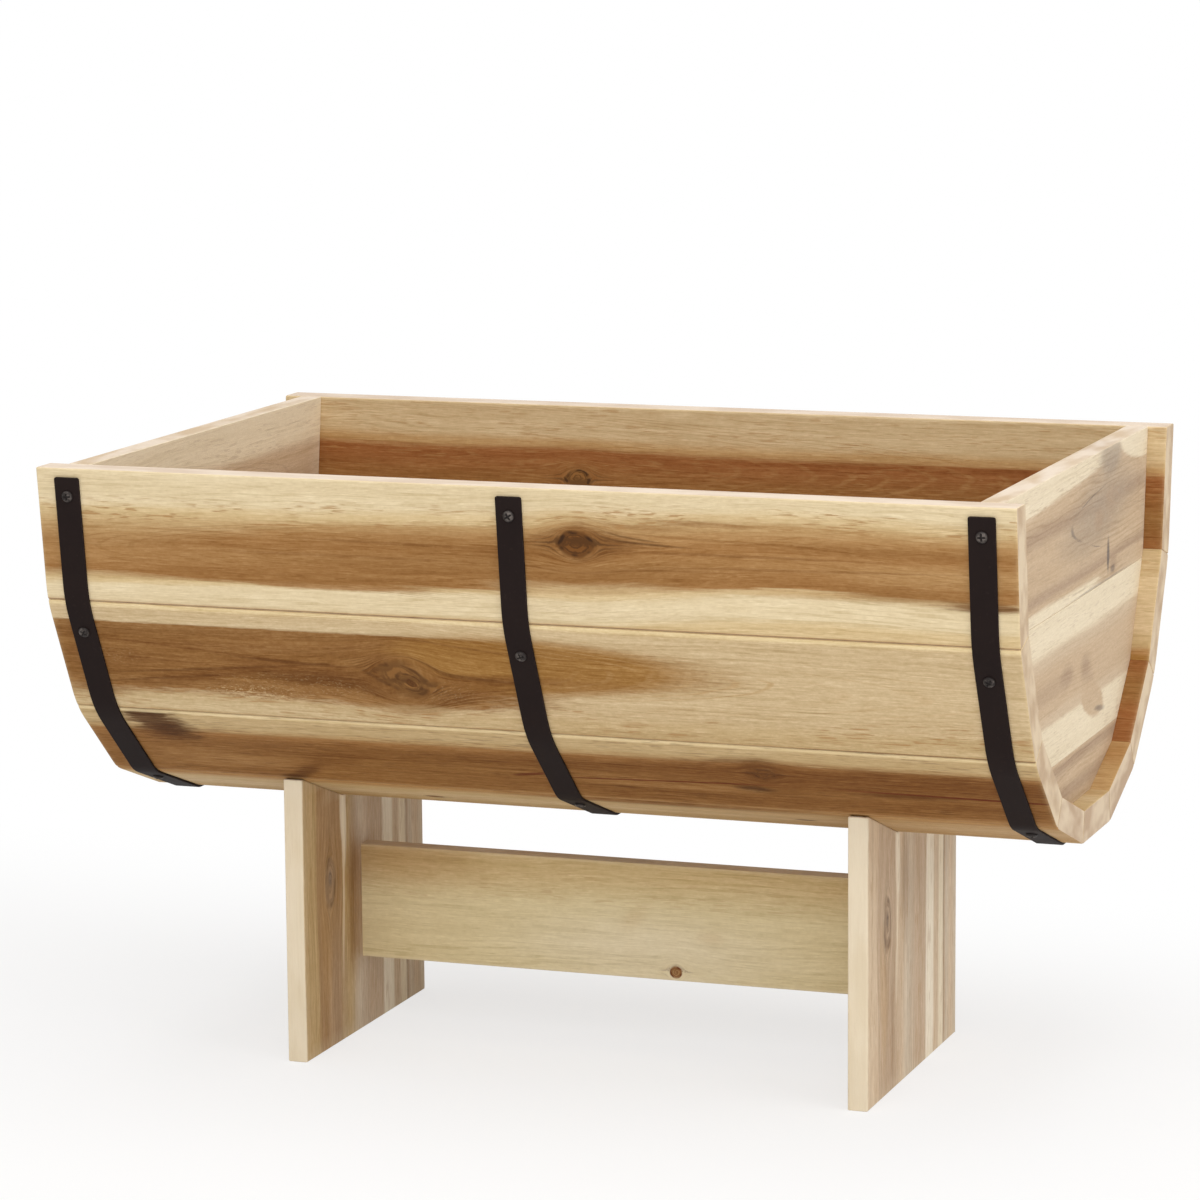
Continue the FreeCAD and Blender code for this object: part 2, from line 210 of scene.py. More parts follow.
def makeWoodGrain():  # long streaks, growth lines, fine fibres, flecks and short dark dashes
    tree, ins, outs = newGroup(
        "woodGrain",
        ["Color", "Grain", "Streaks", "Lines", "Fibres", "Mottle", "Dashes", "Dash Color", "Dash Place",
         "Dash Reach", "Seed"],
        ["Color", "Height", "Fibre"],
    )
    grain, seed = ins["Grain"], ins["Seed"]

    def layer(shift, alongSize, acrossSize, detail=2.0, roughness=0.55):
        return grainCloud(grain, plus(seed, shift), alongSize, acrossSize, detail, roughness)

    def darker(shade, amount):
        return times(minus(0.5, shade), times(amount, 2.0))

    across = split(grain)[1]
    streak, fibre = layer(5.0, 75.0, 1.7, 3.0, 0.6), layer(31.0, 16.0, 0.5, 2.0, 0.6)
    bend = timesPlus(layer(91.0, 150.0, 16.0), 16.0, across)
    wave = calc("SINE", times(bend, 2 * math.pi / 3.6))
    growth = times(ease(wave, 0.3, 1.0), ease(layer(83.0, 130.0, 14.0), 0.42, 0.64))
    shade = times(growth, ins["Lines"])
    for cloudy, amount in (
        (layer(21.0, 260.0, 9.0), ins["Streaks"]), (streak, ins["Streaks"]), (fibre, ins["Fibres"]),
        (layer(71.0, 4.0, 1.3, 3.0, 0.7), ins["Mottle"]),
    ):
        shade = plus(shade, darker(cloudy, amount))
    gamma = larger(timesPlus(shade, 0.6, 1.0), 0.3)
    rich = addNode("ShaderNodeGamma", {"Color": ins["Color"], "Gamma": gamma}).outputs["Color"]
    level = timesPlus(shade, -0.4, 1.0)
    shaded = addNode("ShaderNodeHueSaturation", {"Color": rich, "Value": level}).outputs["Color"]
    fromDashes = unsigned(minus(across, ins["Dash Place"]))
    near = ease(fromDashes, ins["Dash Reach"], times(ins["Dash Reach"], 0.4))
    patches = times(ease(layer(57.0, 60.0, 8.0), 0.4, 0.58), near)
    dash = ease(layer(43.0, 14.0, 0.9, 1.0, 0.5), 0.53, 0.65)
    mark = times(dash, times(patches, ins["Dashes"]))
    feed(outs["Color"], mixColours(mark, shaded, ins["Dash Color"]))
    feed(outs["Height"], minus(timesPlus(fibre, 0.6, streak), mark))
    feed(outs["Fibre"], fibre)
    return tree


def makeFlameFigure():  # growth lines that run out in long pointed arches
    tree, ins, outs = newGroup(
        "flameFigure",
        ["Color", "Grain", "Apex", "Open", "Spread", "Spacing", "Reach", "Length", "Lean", "Line Color",
         "Strength", "Seed"],
        ["Color"],
    )
    along, leaned = offsetFrom(ins, "Apex")
    aside = over(leaned, ins["Spread"])
    arch = times(times(aside, aside), 100.0)  # a hundred long at the spread
    run = times(along, ins["Open"])
    uneven = swing(grainCloud(ins["Grain"], ins["Seed"], 40.0, 5.0, 2.0), 7.0)
    inside = plus(minus(run, arch), uneven)
    wave = calc("COSINE", times(over(inside, ins["Spacing"]), 2 * math.pi))
    line = ease(wave, 0.6, 1.0)
    shown = times(ease(inside, -4.0, 0.0), ease(inside, ins["Reach"], 0.0))
    shown = times(shown, ease(run, ins["Length"], times(ins["Length"], 0.6)))
    later = plus(ins["Seed"], 9.0)
    patchy = ease(grainCloud(ins["Grain"], later, 50.0, 8.0, 2.0), 0.32, 0.6)
    share = times(times(line, shown), times(patchy, ins["Strength"]))
    feed(outs["Color"], mixColours(share, ins["Color"], ins["Line Color"]))
    return tree


def makeStain():  # a patch of darker or paler wood with soft or ragged edges
    tree, ins, outs = newGroup(
        "stain",
        ["Color", "Grain", "Centre", "Half Length", "Half Width", "Lean", "Square", "Edge", "Ragged",
         "Stain Color", "Strength", "Seed"],
        ["Color"],
    )
    along, leaned = offsetFrom(ins, "Centre")
    reachAlong = unsigned(over(along, ins["Half Length"]))
    reachAcross = unsigned(over(leaned, ins["Half Width"]))
    powers = plus(calc("POWER", reachAlong, ins["Square"]), calc("POWER", reachAcross, ins["Square"]))
    reach = calc("POWER", powers, over(1.0, ins["Square"]))
    rough = grainCloud(ins["Grain"], ins["Seed"], 15.0, 1.5, 3.0, 0.65)
    ragged = plus(reach, swing(rough, ins["Ragged"]))
    mask = ease(ragged, plus(1.0, ins["Edge"]), minus(1.0, ins["Edge"]))
    full = times(mask, ins["Strength"])
    feed(outs["Color"], mixColours(full, ins["Color"], ins["Stain Color"]))
    return tree


def makeKnotFace():  # rings, dark rim and pith of a knot
    tree, ins, outs = newGroup(
        "knotFace",
        ["Color", "Height", "Grain", "Flow", "Centre", "Half Length", "Half Width", "Lean", "Wobble",
         "Core Color", "Rim Color", "Strength", "Seed"],
        ["Color", "Height"],
    )
    along, leaned = offsetFrom(ins, "Centre")
    spot = join(over(along, ins["Half Length"]), over(leaned, ins["Half Width"]), ins["Seed"])
    flat = stretch(spot, 1.0, 1.0, 0.0)
    wobble = cloud(stretch(spot, 1.2, 1.2, 1.0), 2.0)
    reach = plus(vectorCalc("LENGTH", flat), swing(wobble, ins["Wobble"]))
    fine = cloud(stretch(spot, 3.0, 3.0, 1.0), 3.0, 0.65)
    turns = timesPlus(reach, 17.0, times(fine, 6.0))
    rings = ease(calc("SINE", turns), -0.1, 0.95)
    body = ease(reach, 1.15, 0.8)
    rim = ease(unsigned(minus(reach, 0.86)), 0.24, 0.04)
    patchy = cloud(stretch(spot, 1.4, 1.4, 2.0), 1.0)
    rim = times(rim, timesPlus(ease(patchy, 0.36, 0.6), 0.7, 0.3))
    fromPith = vectorCalc("LENGTH", vectorCalc("SUBTRACT", flat, (0.12, 0.0, 0.0)))
    pith = times(ease(fromPith, 0.36, 0.05), 0.5)
    lensX, lensY = split(vectorCalc("ABSOLUTE", stretch(flat, 0.28, 0.56, 0.0)))[:2]
    lens = ease(plus(lensX, lensY), 1.0, 0.35)
    crowded = timesPlus(split(ins["Flow"])[1], 2 * math.pi / 1.4, times(fine, 4.0))
    hairs = ease(calc("SINE", crowded), -0.2, 0.9)
    lids = times(lens, times(hairs, 0.6))  # fine lines that pass round the knot
    grown = times(times(rings, body), 0.62)
    darkness = larger(larger(rim, pith), larger(grown, lids))
    strength = ins["Strength"]
    cored = mixColours(times(body, strength), ins["Color"], ins["Core Color"])
    feed(outs["Color"], mixColours(times(darkness, strength), cored, ins["Rim Color"]))
    sunk = times(times(darkness, strength), -1.4)
    feed(outs["Height"], plus(ins["Height"], sunk))
    return tree


def makeTornGrain():  # fine pale flecks where the plane has lifted the grain, and dark pits of painted shade among them
    tree, ins, outs = newGroup(
        "tornGrain",
        ["Color", "Grain", "Centre", "Half Length", "Half Width", "Fleck Color", "Pit Color", "Strength",
         "Seed"],
        ["Color"],
    )
    offset = split(vectorCalc("SUBTRACT", ins["Grain"], ins["Centre"]))
    cover = times(ease(ovalReach(offset, ins), 1.2, 0.1), ins["Strength"])
    grit = grainCloud(ins["Grain"], ins["Seed"], 1.8, 0.85, 1.0)
    # painted shade in the pits of the torn grain
    pits = times(ease(grit, 0.42, 0.3), cover)
    flecks = times(ease(grit, 0.56, 0.7), cover)
    pitted = mixColours(pits, ins["Color"], ins["Pit Color"])
    feed(outs["Color"], mixColours(flecks, pitted, ins["Fleck Color"]))
    return tree


def makeSawnFace():  # sawn ends and edges: paler, with fine saw and ray marks
    tree, ins, outs = newGroup(
        "sawnFace",
        ["Color", "Height", "Grain", "Axis", "Pale Color", "Dark Color", "Cover", "Seed"],
        ["Color", "Height"],
    )
    normal = addNode("ShaderNodeNewGeometry").outputs["Normal"]
    facing = unsigned(vectorCalc("DOT_PRODUCT", normal, ins["Axis"]))
    mask = times(ease(facing, 0.72, 0.9), ins["Cover"])
    along, across, depth = split(ins["Grain"])

    def marks(alongScale, acrossScale, depthScale, detail, roughness=0.5):
        spot = join(
            times(along, alongScale), times(across, acrossScale), timesPlus(depth, depthScale, ins["Seed"]),
        )
        return cloud(spot, detail, roughness)

    blotch = marks(0.02, 0.035, 0.06, 2.0)
    lines = marks(0.05, 1.5, 0.22, 3.0, 0.6)
    pores = marks(0.3, 2.4, 2.4, 1.0)
    shade = timesPlus(minus(lines, 0.5), 0.5, ease(blotch, 0.36, 0.66))
    shade = plus(shade, times(ease(pores, 0.62, 0.75), 0.2))
    sawn = mixColours(shade, ins["Pale Color"], ins["Dark Color"])
    feed(outs["Color"], mixColours(mask, ins["Color"], sawn))
    rough = times(timesPlus(pores, -0.8, lines), mask)
    feed(outs["Height"], plus(times(ins["Height"], minus(1.0, mask)), rough))
    return tree


def makeArrisWear():  # rubbed edges: paler wood, a little drier
    tree, ins, outs = newGroup(
        "arrisWear",
        ["Color", "Worn Color", "Amount", "Roughness", "Grain", "Seed"],
        ["Color", "Roughness"],
    )
    arris = attribute("arris", "Fac")
    broken = ease(grainCloud(ins["Grain"], ins["Seed"], 14.0, 3.0, 3.0, 0.6), 0.3, 0.62)
    mask = times(times(arris, timesPlus(broken, 0.6, 0.4)), ins["Amount"])
    feed(outs["Color"], mixColours(mask, ins["Color"], ins["Worn Color"]))
    feed(outs["Roughness"], timesPlus(mask, 0.14, ins["Roughness"]))
    return tree


grainFlow = makeGrainFlow()
grainWander = makeGrainWander()
woodGrain = makeWoodGrain()
flameFigure = makeFlameFigure()
stain = makeStain()
knotFace = makeKnotFace()
tornGrain = makeTornGrain()
sawnFace = makeSawnFace()
arrisWear = makeArrisWear()
print("shared effects done")

# Colours of the wood, as seen on screen
woodTones = {
    "sap": tone(229, 209, 170),
    "sapWarm": tone(219, 193, 146),
    "sapLight": tone(241, 218, 170),
    "straw": tone(201, 174, 129),
    "pale": tone(210, 185, 144),
    "tan": tone(192, 160, 113),
    "honey": tone(190, 153, 104),
    "heart": tone(174, 131, 82),
    "heartDeep": tone(163, 118, 70),
    "golden": tone(161, 117, 61),
    "brown": tone(146, 103, 57),
    "brownDeep": tone(121, 77, 37),
    "walnut": tone(100, 62, 30),
    "russet": tone(150, 96, 54),
    "umber": tone(78, 49, 26),
    "bark": tone(58, 38, 24),
    "gum": tone(104, 46, 22),
    "cream": tone(240, 225, 198),
    "endCream": tone(234, 218, 189),
    "leg": tone(232, 215, 185),
    "legPale": tone(248, 236, 214),
    "legTan": tone(219, 196, 167),
    "legBrown": tone(206, 182, 155),
    "legShade": tone(180, 147, 108),
    "legGrey": tone(215, 198, 175),
    "ash": tone(203, 177, 146),
    "ashDark": tone(180, 154, 128),
    "ashGrey": tone(172, 154, 134),
    "ashPale": tone(209, 186, 157),
    "slate": tone(112, 102, 96),
    "pine": tone(231, 214, 170),
    "pineDeep": tone(217, 191, 141),
    "pink": tone(231, 214, 196),
    "pinkDark": tone(216, 195, 175),
    "endPale": tone(221, 201, 174),
    "endDark": tone(190, 163, 137),
}


def bandRamp(fac, bands, span):  # colour across the board, by bands of (place, tone)
    node = addNode("ShaderNodeValToRGB", {"Fac": fac})
    ramp = node.color_ramp
    ramp.interpolation = "EASE"
    low, high = span
    for index, (where, name) in enumerate(bands):
        spot = min(max((where - low) / (high - low), 0.0), 1.0)
        if index < 2:
            stop = ramp.elements[index]
            stop.position = spot
        else:
            stop = ramp.elements.new(spot)
        stop.color = woodTones[name]
    return node.outputs["Color"]


# For what a board's own look doesn't say
plainWood = {
    "knots": [], "patches": [], "flames": [], "torn": [],
    "lean": 0.0, "drift": 3.0, "ragged": 2.5, "swell": (0.0, 0.0, 100.0),
    "streaks": 0.2, "lines": 0.18, "fibres": 0.38, "mottle": 0.2,
    "dashes": 0.5, "dashTone": "heart", "dashesAt": (0.0, 900.0), "pitTone": "brownDeep",
    "insideFrom": (0.35, 0.75), "rough": 0.56, "dryness": 0.16, "wornTone": "cream", "wear": 0.45,
    "bump": 0.35, "bumpDepth": 0.0004, "shine": 0.08,
}
seedSteps = {"patches": 2.3, "flames": 3.1, "torn": 4.3, "knots": 1.7, "sawn": 1.0, "worn": 5.0}


def patch(x, v, halfLength, halfWidth, shade, strength, **more):  # darker or paler wood round a place
    return {
        "centre": (x, v), "half": (halfLength, halfWidth), "tone": shade, "strength": strength,
        "lean": 0.0, "square": 2.0, "edge": 0.6, "ragged": 0.5, "flow": True,
    } | more


vein = partial(patch, edge=0.5)  # a thin line of the figure
haze = partial(patch, edge=0.7)  # fades out softly


def knot(x, v, halfLength, halfWidth, core, rim, strength, **more):
    return {
        "centre": (x, v), "half": (halfLength, halfWidth), "core": core, "rim": rim, "strength": strength,
        "lean": 0.0, "wobble": 0.25, "pull": 0.9, "reach": 1.15,
    } | more


# Arches that open from a place, to the right or to the left
def flame(x, v, opens, spread, spacing, reach, shade, strength, lean=0.0, length=900.0):
    return {
        "Apex": (x, v, 0.0), "Open": opens, "Spread": spread, "Spacing": spacing, "Reach": reach,
        "Length": length, "Lean": lean, "Line Color": woodTones[shade], "Strength": strength,
    }


def oval(spot, reach=1.0):  # where a mark lies on its board
    halfLength, halfWidth = spot["half"]
    return {
        "Centre": (*spot["centre"], 0.0),
        "Half Length": halfLength * reach, "Half Width": halfWidth * reach,
    }


def woodMaterial(name, look):
    look = plainWood | look
    material = clearTree(bpy.data.materials.new(name))
    seed = look["seed"]

    def marks(kind):  # each mark of a kind with a seed of its own
        return [(spot, seed + seedSteps[kind] * index) for index, spot in enumerate(look[kind])]

    grain = attribute("grain", "Vector")
    flowing = grain
    for spot in look["knots"]:
        around = oval(spot, spot["reach"])
        flowing = placed(grainFlow, around | {"Grain": flowing, "Pull": spot["pull"]})["Grain"]
    swell, swellPlace, swellReach = look["swell"]
    drifted = placed(grainWander, {
        "Grain": flowing, "Lean": look["lean"], "Drift": look["drift"], "Ragged": look["ragged"],
        "Swell": swell, "Swell Place": swellPlace, "Swell Reach": swellReach, "Seed": seed,
    })["Grain"]
    low, high = look["span"]
    boardWidth = {"Value": split(drifted)[1], "From Min": low, "From Max": high}
    fac = addNode("ShaderNodeMapRange", boardWidth).outputs["Result"]
    colour = bandRamp(fac, look["bands"], look["span"])
    if "inside" in look:  # the inner face shows other layers of the same board; on the left leg it carries painted shade
        inner = bandRamp(fac, look["inside"], look["span"])
        start, full = (look["thick"] * share for share in look["insideFrom"])
        colour = mixColours(ease(split(grain)[2], start, full), colour, inner)
    for spot, markSeed in marks("patches"):
        colour = placed(stain, oval(spot) | {
            "Color": colour, "Grain": flowing if spot["flow"] else grain, "Lean": spot["lean"],
            "Square": spot["square"], "Edge": spot["edge"], "Ragged": spot["ragged"],
            "Stain Color": woodTones[spot["tone"]], "Strength": spot["strength"], "Seed": markSeed,
        })["Color"]
    for arch, markSeed in marks("flames"):
        colour = placed(flameFigure, arch | {"Color": colour, "Grain": flowing, "Seed": markSeed})["Color"]
    dashPlace, dashReach = look["dashesAt"]
    figured = placed(woodGrain, {
        "Color": colour, "Grain": drifted, "Streaks": look["streaks"], "Lines": look["lines"],
        "Fibres": look["fibres"], "Mottle": look["mottle"], "Dashes": look["dashes"],
        "Dash Color": woodTones[look["dashTone"]], "Dash Place": dashPlace, "Dash Reach": dashReach,
        "Seed": seed,
    })
    colour, height = figured["Color"], figured["Height"]
    for spot, markSeed in marks("torn"):
        colour = placed(tornGrain, oval(spot) | {
            "Color": colour, "Grain": flowing, "Fleck Color": woodTones[spot["tone"]],
            "Pit Color": woodTones[look["pitTone"]], "Strength": spot["strength"], "Seed": markSeed,
        })["Color"]
    for spot, markSeed in marks("knots"):
        faced = placed(knotFace, oval(spot) | {
            "Color": colour, "Height": height, "Grain": grain, "Flow": flowing, "Lean": spot["lean"],
            "Wobble": spot["wobble"], "Core Color": woodTones[spot["core"]],
            "Rim Color": woodTones[spot["rim"]], "Strength": spot["strength"], "Seed": markSeed,
        })
        colour, height = faced["Color"], faced["Height"]
    for (axis, pale, dark, cover), markSeed in marks("sawn"):
        sawn = placed(sawnFace, {
            "Color": colour, "Height": height, "Grain": grain, "Axis": axis, "Pale Color": woodTones[pale],
            "Dark Color": woodTones[dark], "Cover": cover, "Seed": markSeed,
        })
        colour, height = sawn["Color"], sawn["Height"]
    dry = timesPlus(figured["Fibre"], look["dryness"], look["rough"])
    worn = placed(arrisWear, {
        "Color": colour, "Worn Color": woodTones[look["wornTone"]], "Amount": look["wear"],
        "Roughness": dry, "Grain": grain, "Seed": seed + seedSteps["worn"],
    })
    coatSurface(worn["Color"], worn["Roughness"], height, look)
    return material


# Boards: an outline in p and q with rounded corners, drawn out along r

boardFinish = {
    "wornRound": 0.5,  # rounds below this stay crisp
    "roundSteps": 5,
    "crispSteps": 2,
    "margins": (1.2, 3.5),  # extra rows of points near the ends of a run
    "endAngles": (90, 60, 30, 0),
    "weld": 0.0005,
    "wornEnd": 0.3,
    "wornReach": 2.6,
    "wornCurve": 1.5,
}


def addObject(name, data):
    item = bpy.data.objects.new(name, data)
    scene.collection.objects.link(item)
    return item


def meshFrom(shape, name):
    data = bpy.data.meshes.new(name)
    shape.to_mesh(data)
    shape.free()
    return data


def skinRings(shape, rings):  # faces between closed rings of points, and one across each end
    count = len(rings[0])
    for first, second in zip(rings, rings[1:]):
        for index in range(count):
            after = (index + 1) % count
            shape.faces.new((first[index], first[after], second[after], second[index]))
    shape.faces.new(reversed(rings[0]))
    shape.faces.new(rings[-1])


def roundedOutline(corners, rounds, spacing):
    count = len(corners)
    points = []
    for index in range(count):
        before, corner, after = (Vector(corners[(index + step) % count]) for step in (-1, 0, 1))
        size = rounds[index]
        if not size:
            points.append(corner)
            continue
        start = corner + (before - corner).normalized() * size
        end = corner + (after - corner).normalized() * size
        steps = boardFinish["roundSteps" if size >= boardFinish["wornRound"] else "crispSteps"]
        for step in range(steps + 1):
            part = step / steps
            points.append(start * (1 - part) ** 2 + corner * 2 * part * (1 - part) + end * part ** 2)
    count = len(points)
    filled = []
    for index, point in enumerate(points):
        after = points[(index + 1) % count]
        run = (after - point).length
        steps = evenSteps(run, spacing) if run > spacing else []
        filled += [point] + [point.lerp(after, place / run) for place in steps]
    return filled


def evenSteps(length, spacing):  # places along a length, closer together near its ends
    margins = [place for place in boardFinish["margins"] if place < length / 3]
    first = margins[-1] if margins else 0.0
    count = max(1, round((length - 2 * first) / spacing))
    middle = [first + (length - 2 * first) * step / count for step in range(1, count)]
    return margins + middle + [length - place for place in reversed(margins)]


def insetOutline(points, amount):
    count = len(points)
    edges = [(points[(index + 1) % count] - point).normalized() for index, point in enumerate(points)]
    starts = [point + Vector((-edge.y, edge.x)) * amount for point, edge in zip(points, edges)]
    moved = []
    for index, point in enumerate(points):
        incoming, outgoing = edges[index - 1], edges[index]
        inward = Vector((-(incoming.y + outgoing.y), incoming.x + outgoing.x)).normalized()
        moved.append(point + inward * amount / max(0.5, inward.dot(Vector((-incoming.y, incoming.x)))))
    closed = [False] * count
    while True:
        turned = [
            (moved[(index + 1) % count] - moved[index]).dot(edges[index]) < -0.000001
            for index in range(count)
        ]
        if not any(turned):
            return moved
        closed = [was or now for was, now in zip(closed, turned)]
        for first in range(count):
            if not closed[first] or closed[first - 1]:
                continue
            last = first
            while closed[last % count]:
                last += 1
            # the points of a tight corner meet between these
            before, after = edges[first - 1], edges[last % count]
            apart = starts[last % count] - starts[first - 1]
            spin = before.x * after.y - before.y * after.x
            meeting = starts[first - 1] + before * ((apart.x * after.y - apart.y * after.x) / spin)
            for place in range(first, last + 1):
                moved[place % count] = meeting


def signedArea(points):
    return sum(a[0] * b[1] - b[0] * a[1] for a, b in zip(points, points[1:] + points[:1])) / 2


def boardMesh(name, board):
    corners, rounds = list(board["corners"]), list(board["rounds"])
    if signedArea(corners) < 0:  # counterclockwise, so that the inset goes inward
        corners.reverse()
        rounds.reverse()
    low, high = board["reach"]
    endRound = board["endRound"]
    outline = roundedOutline(corners, rounds, board["spacing"])
    curve = [math.radians(angle) for angle in boardFinish["endAngles"]]
    eased = [(endRound * (1 - math.sin(angle)), endRound * (1 - math.cos(angle))) for angle in curve]
    span = high - low - 2 * endRound
    stations = [(low + inward, inset) for inward, inset in eased]
    stations += [(low + endRound + place, 0.0) for place in evenSteps(span, board["lengthStep"])]
    stations += [(high - inward, inset) for inward, inset in reversed(eased)]
    mesh = bmesh.new()
    rings = []
    for where, inset in stations:
        shrunk = insetOutline(outline, inset) if inset else outline
        rings.append([mesh.verts.new((point.x, point.y, where)) for point in shrunk])
    skinRings(mesh, rings)
    bmesh.ops.remove_doubles(mesh, verts=mesh.verts[:], dist=boardFinish["weld"])
    for axis, places in board.get("slices", {}).items():
        for where in places:
            point, normal = [0.0] * 3, [0.0] * 3
            point[axis], normal[axis] = where, 1.0
            parts = mesh.verts[:] + mesh.edges[:] + mesh.faces[:]
            bmesh.ops.bisect_plane(mesh, geom=parts, plane_co=point, plane_no=normal, dist=0.0001)
    bmesh.ops.recalc_face_normals(mesh, faces=mesh.faces[:])
    mesh.transform(board["place"])
    return meshFrom(mesh, name)


def cutOut(data, cutters):  # takes the cutters' shapes out of a mesh
    blank = addObject("blank", data)
    helpers = [addObject("cutter", cutter) for cutter in cutters]
    for helper in helpers:
        step = blank.modifiers.new("cut", "BOOLEAN")
        step.operation, step.object, step.solver = "DIFFERENCE", helper, "EXACT"
    bpy.context.view_layer.update()
    shape = blank.evaluated_get(bpy.context.evaluated_depsgraph_get())
    result = bpy.data.meshes.new_from_object(shape)
    for helper in helpers + [blank]:
        bpy.data.objects.remove(helper)
    return result


def lathe(profile, sides, matrix):  # profile of (radius, height), closed at both ends on the axis
    shape = bmesh.new()
    turns = [2 * math.pi * side / sides for side in range(sides)]
    rings = []
    for radius, height in profile:
        around = turns if radius else turns[:1]
        rings.append(
            [shape.verts.new((radius * math.cos(turn), radius * math.sin(turn), height)) for turn in around]
        )
    for first, second in zip(rings, rings[1:]):
        for side in range(sides):
            after = (side + 1) % sides
            if len(first) == 1:
                shape.faces.new((first[0], second[after], second[side]))
            elif len(second) == 1:
                shape.faces.new((first[side], first[after], second[0]))
            else:
                shape.faces.new((first[side], first[after], second[after], second[side]))
    bmesh.ops.recalc_face_normals(shape, faces=shape.faces[:])
    shape.transform(matrix)
    return meshFrom(shape, "lathe")


def boardAttributes(data, board):
    back = board["place"].inverted()
    low, high = board["reach"]
    corners = [Vector(corner) for corner in board["corners"]]
    worn = [corner for corner, size in zip(corners, board["rounds"]) if size >= boardFinish["wornRound"]]
    wornEnd = board["endRound"] >= boardFinish["wornEnd"]
    sides = list(zip(corners, corners[1:] + corners[:1]))
    data.attributes.new("grain", "FLOAT_VECTOR", "POINT")
    data.attributes.new("arris", "FLOAT", "POINT")
    grain, arris = data.attributes["grain"], data.attributes["arris"]  # looked up once both are there
    for index, vertex in enumerate(data.vertices):
        p, q, r = back @ vertex.co
        spot = Vector((p, q))
        toEdge = min([(spot - corner).length for corner in worn] or [math.inf])
        toSide = min(sideDistance(spot, start, end) for start, end in sides)
        toEnd = min(r - low, high - r)
        nearest = min(toEdge, math.hypot(toSide, toEnd) if wornEnd else math.inf)
        bare = max(0.0, 1.0 - nearest / boardFinish["wornReach"])
        arris.data[index].value = bare ** boardFinish["wornCurve"]
        grain.data[index].vector = board["grain"](p, q, r)


def sideDistance(spot, start, end):
    line = end - start
    part = min(max((spot - start).dot(line) / line.length_squared, 0.0), 1.0)
    return (spot - start - line * part).length


def addPiece(name, data, material, nodes):
    data.materials.clear()
    data.materials.append(material)
    for face in data.polygons:
        face.use_smooth = True
    piece = addObject(name, data)
    piece.modifiers.new("faceNormals", "WEIGHTED_NORMAL").keep_sharp = True
    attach(piece, "root")
    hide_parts(*nodes)


def addBoard(name, board, look, nodes, cutters=()):
    data = boardMesh(name, board)
    if cutters:
        data = cutOut(data, cutters)
        data.name = name
    boardAttributes(data, board)
    addPiece(name, data, woodMaterial(name + "Wood", look), nodes)


# The barrel's section, worked out from its staves as in the CAD

barrel = {
    "length": 600.0,
    "clearHeight": 156.5,
    "thickness": 19.5,
    "widths": {"bottom": 69.0, "low": 65.6, "bilge": 71.3, "side": 79.9, "rim": 82.5},
    "angles": {"bottom": 0.0, "low": 19.4, "bilge": 42.1, "side": 63.4, "rim": 82.7},
    "seamSoft": {"bottom": 15.0, "low": 30.0, "bilge": 70.0, "side": 70.0},
    "upperRound": 1.8,
    "lowerRound": 1.0,
    "seamGap": 0.05,
    "innerRound": 0.25,
    "rimRound": 1.5,
    "endRound": 0.7,
    "seamStep": 3.0,
    "drains": (-230.0, -91.0, 91.0, 230.0),
    "drainRadius": 6.0,
    "drainBreak": 1.0,  # the holes' broken edges
    "drainSides": 40,
    "shortWear": 0.08,  # on the low and bottom staves, which nobody touches
    "wear": 0.25,
}
staveNames = list(barrel["widths"])
# upper outer seam of each stave
seams = {"bottom": (barrel["widths"]["bottom"] / 2, barrel["clearHeight"])}
for lower, name in zip(staveNames, staveNames[1:]):
    angle = math.radians(barrel["angles"][name])
    fromY, fromZ = seams[lower]
    width = barrel["widths"][name]
    seams[name] = (fromY + width * math.cos(angle), fromZ + width * math.sin(angle))
mitres = {
    lower: math.radians(barrel["angles"][name] - barrel["angles"][lower]) / 2
    for lower, name in zip(staveNames, staveNames[1:])
}
mitres["rim"] = math.radians(90 - barrel["angles"]["rim"])
staveBelow = dict(zip(staveNames, ["bottom"] + staveNames))  # both seams of the bottom stave are alike
innerCorners = []
for name in staveNames:
    angle = math.radians(barrel["angles"][name]) + mitres[name]
    reach = barrel["thickness"] / math.cos(mitres[name])
    seamY, seamZ = seams[name]
    innerCorners.append((seamY - reach * math.sin(angle), seamZ + reach * math.cos(angle)))


def staveMatrix(name, side):  # p down from the upper seam, q into the wood, r along the barrel
    angle = math.radians(barrel["angles"][name])
    seamY, seamZ = seams[name]
    down = Vector((0, -side * math.cos(angle), -math.sin(angle)))
    inward = Vector((0, -side * math.sin(angle), math.cos(angle)))
    matrix = Matrix.Identity(4)
    for column, axis in enumerate((down, inward, Vector((1, 0, 0)))):
        matrix.col[column] = (*(axis * mm), 0)
    matrix.col[3] = (0, side * seamY * mm, seamZ * mm, 1)
    return matrix


def softSeam(name):  # outer face bent down to the seam above a stave: (from the seam, into the wood)
    radius, turn = barrel["seamSoft"][name], mitres[name]
    reach = radius * math.tan(turn)
    steps = max(1, int(reach / barrel["seamStep"]))
    angles = [turn * (1 - step / steps) for step in range(steps + 1)]
    return [(reach - radius * math.sin(angle), radius - radius * math.cos(angle)) for angle in angles]


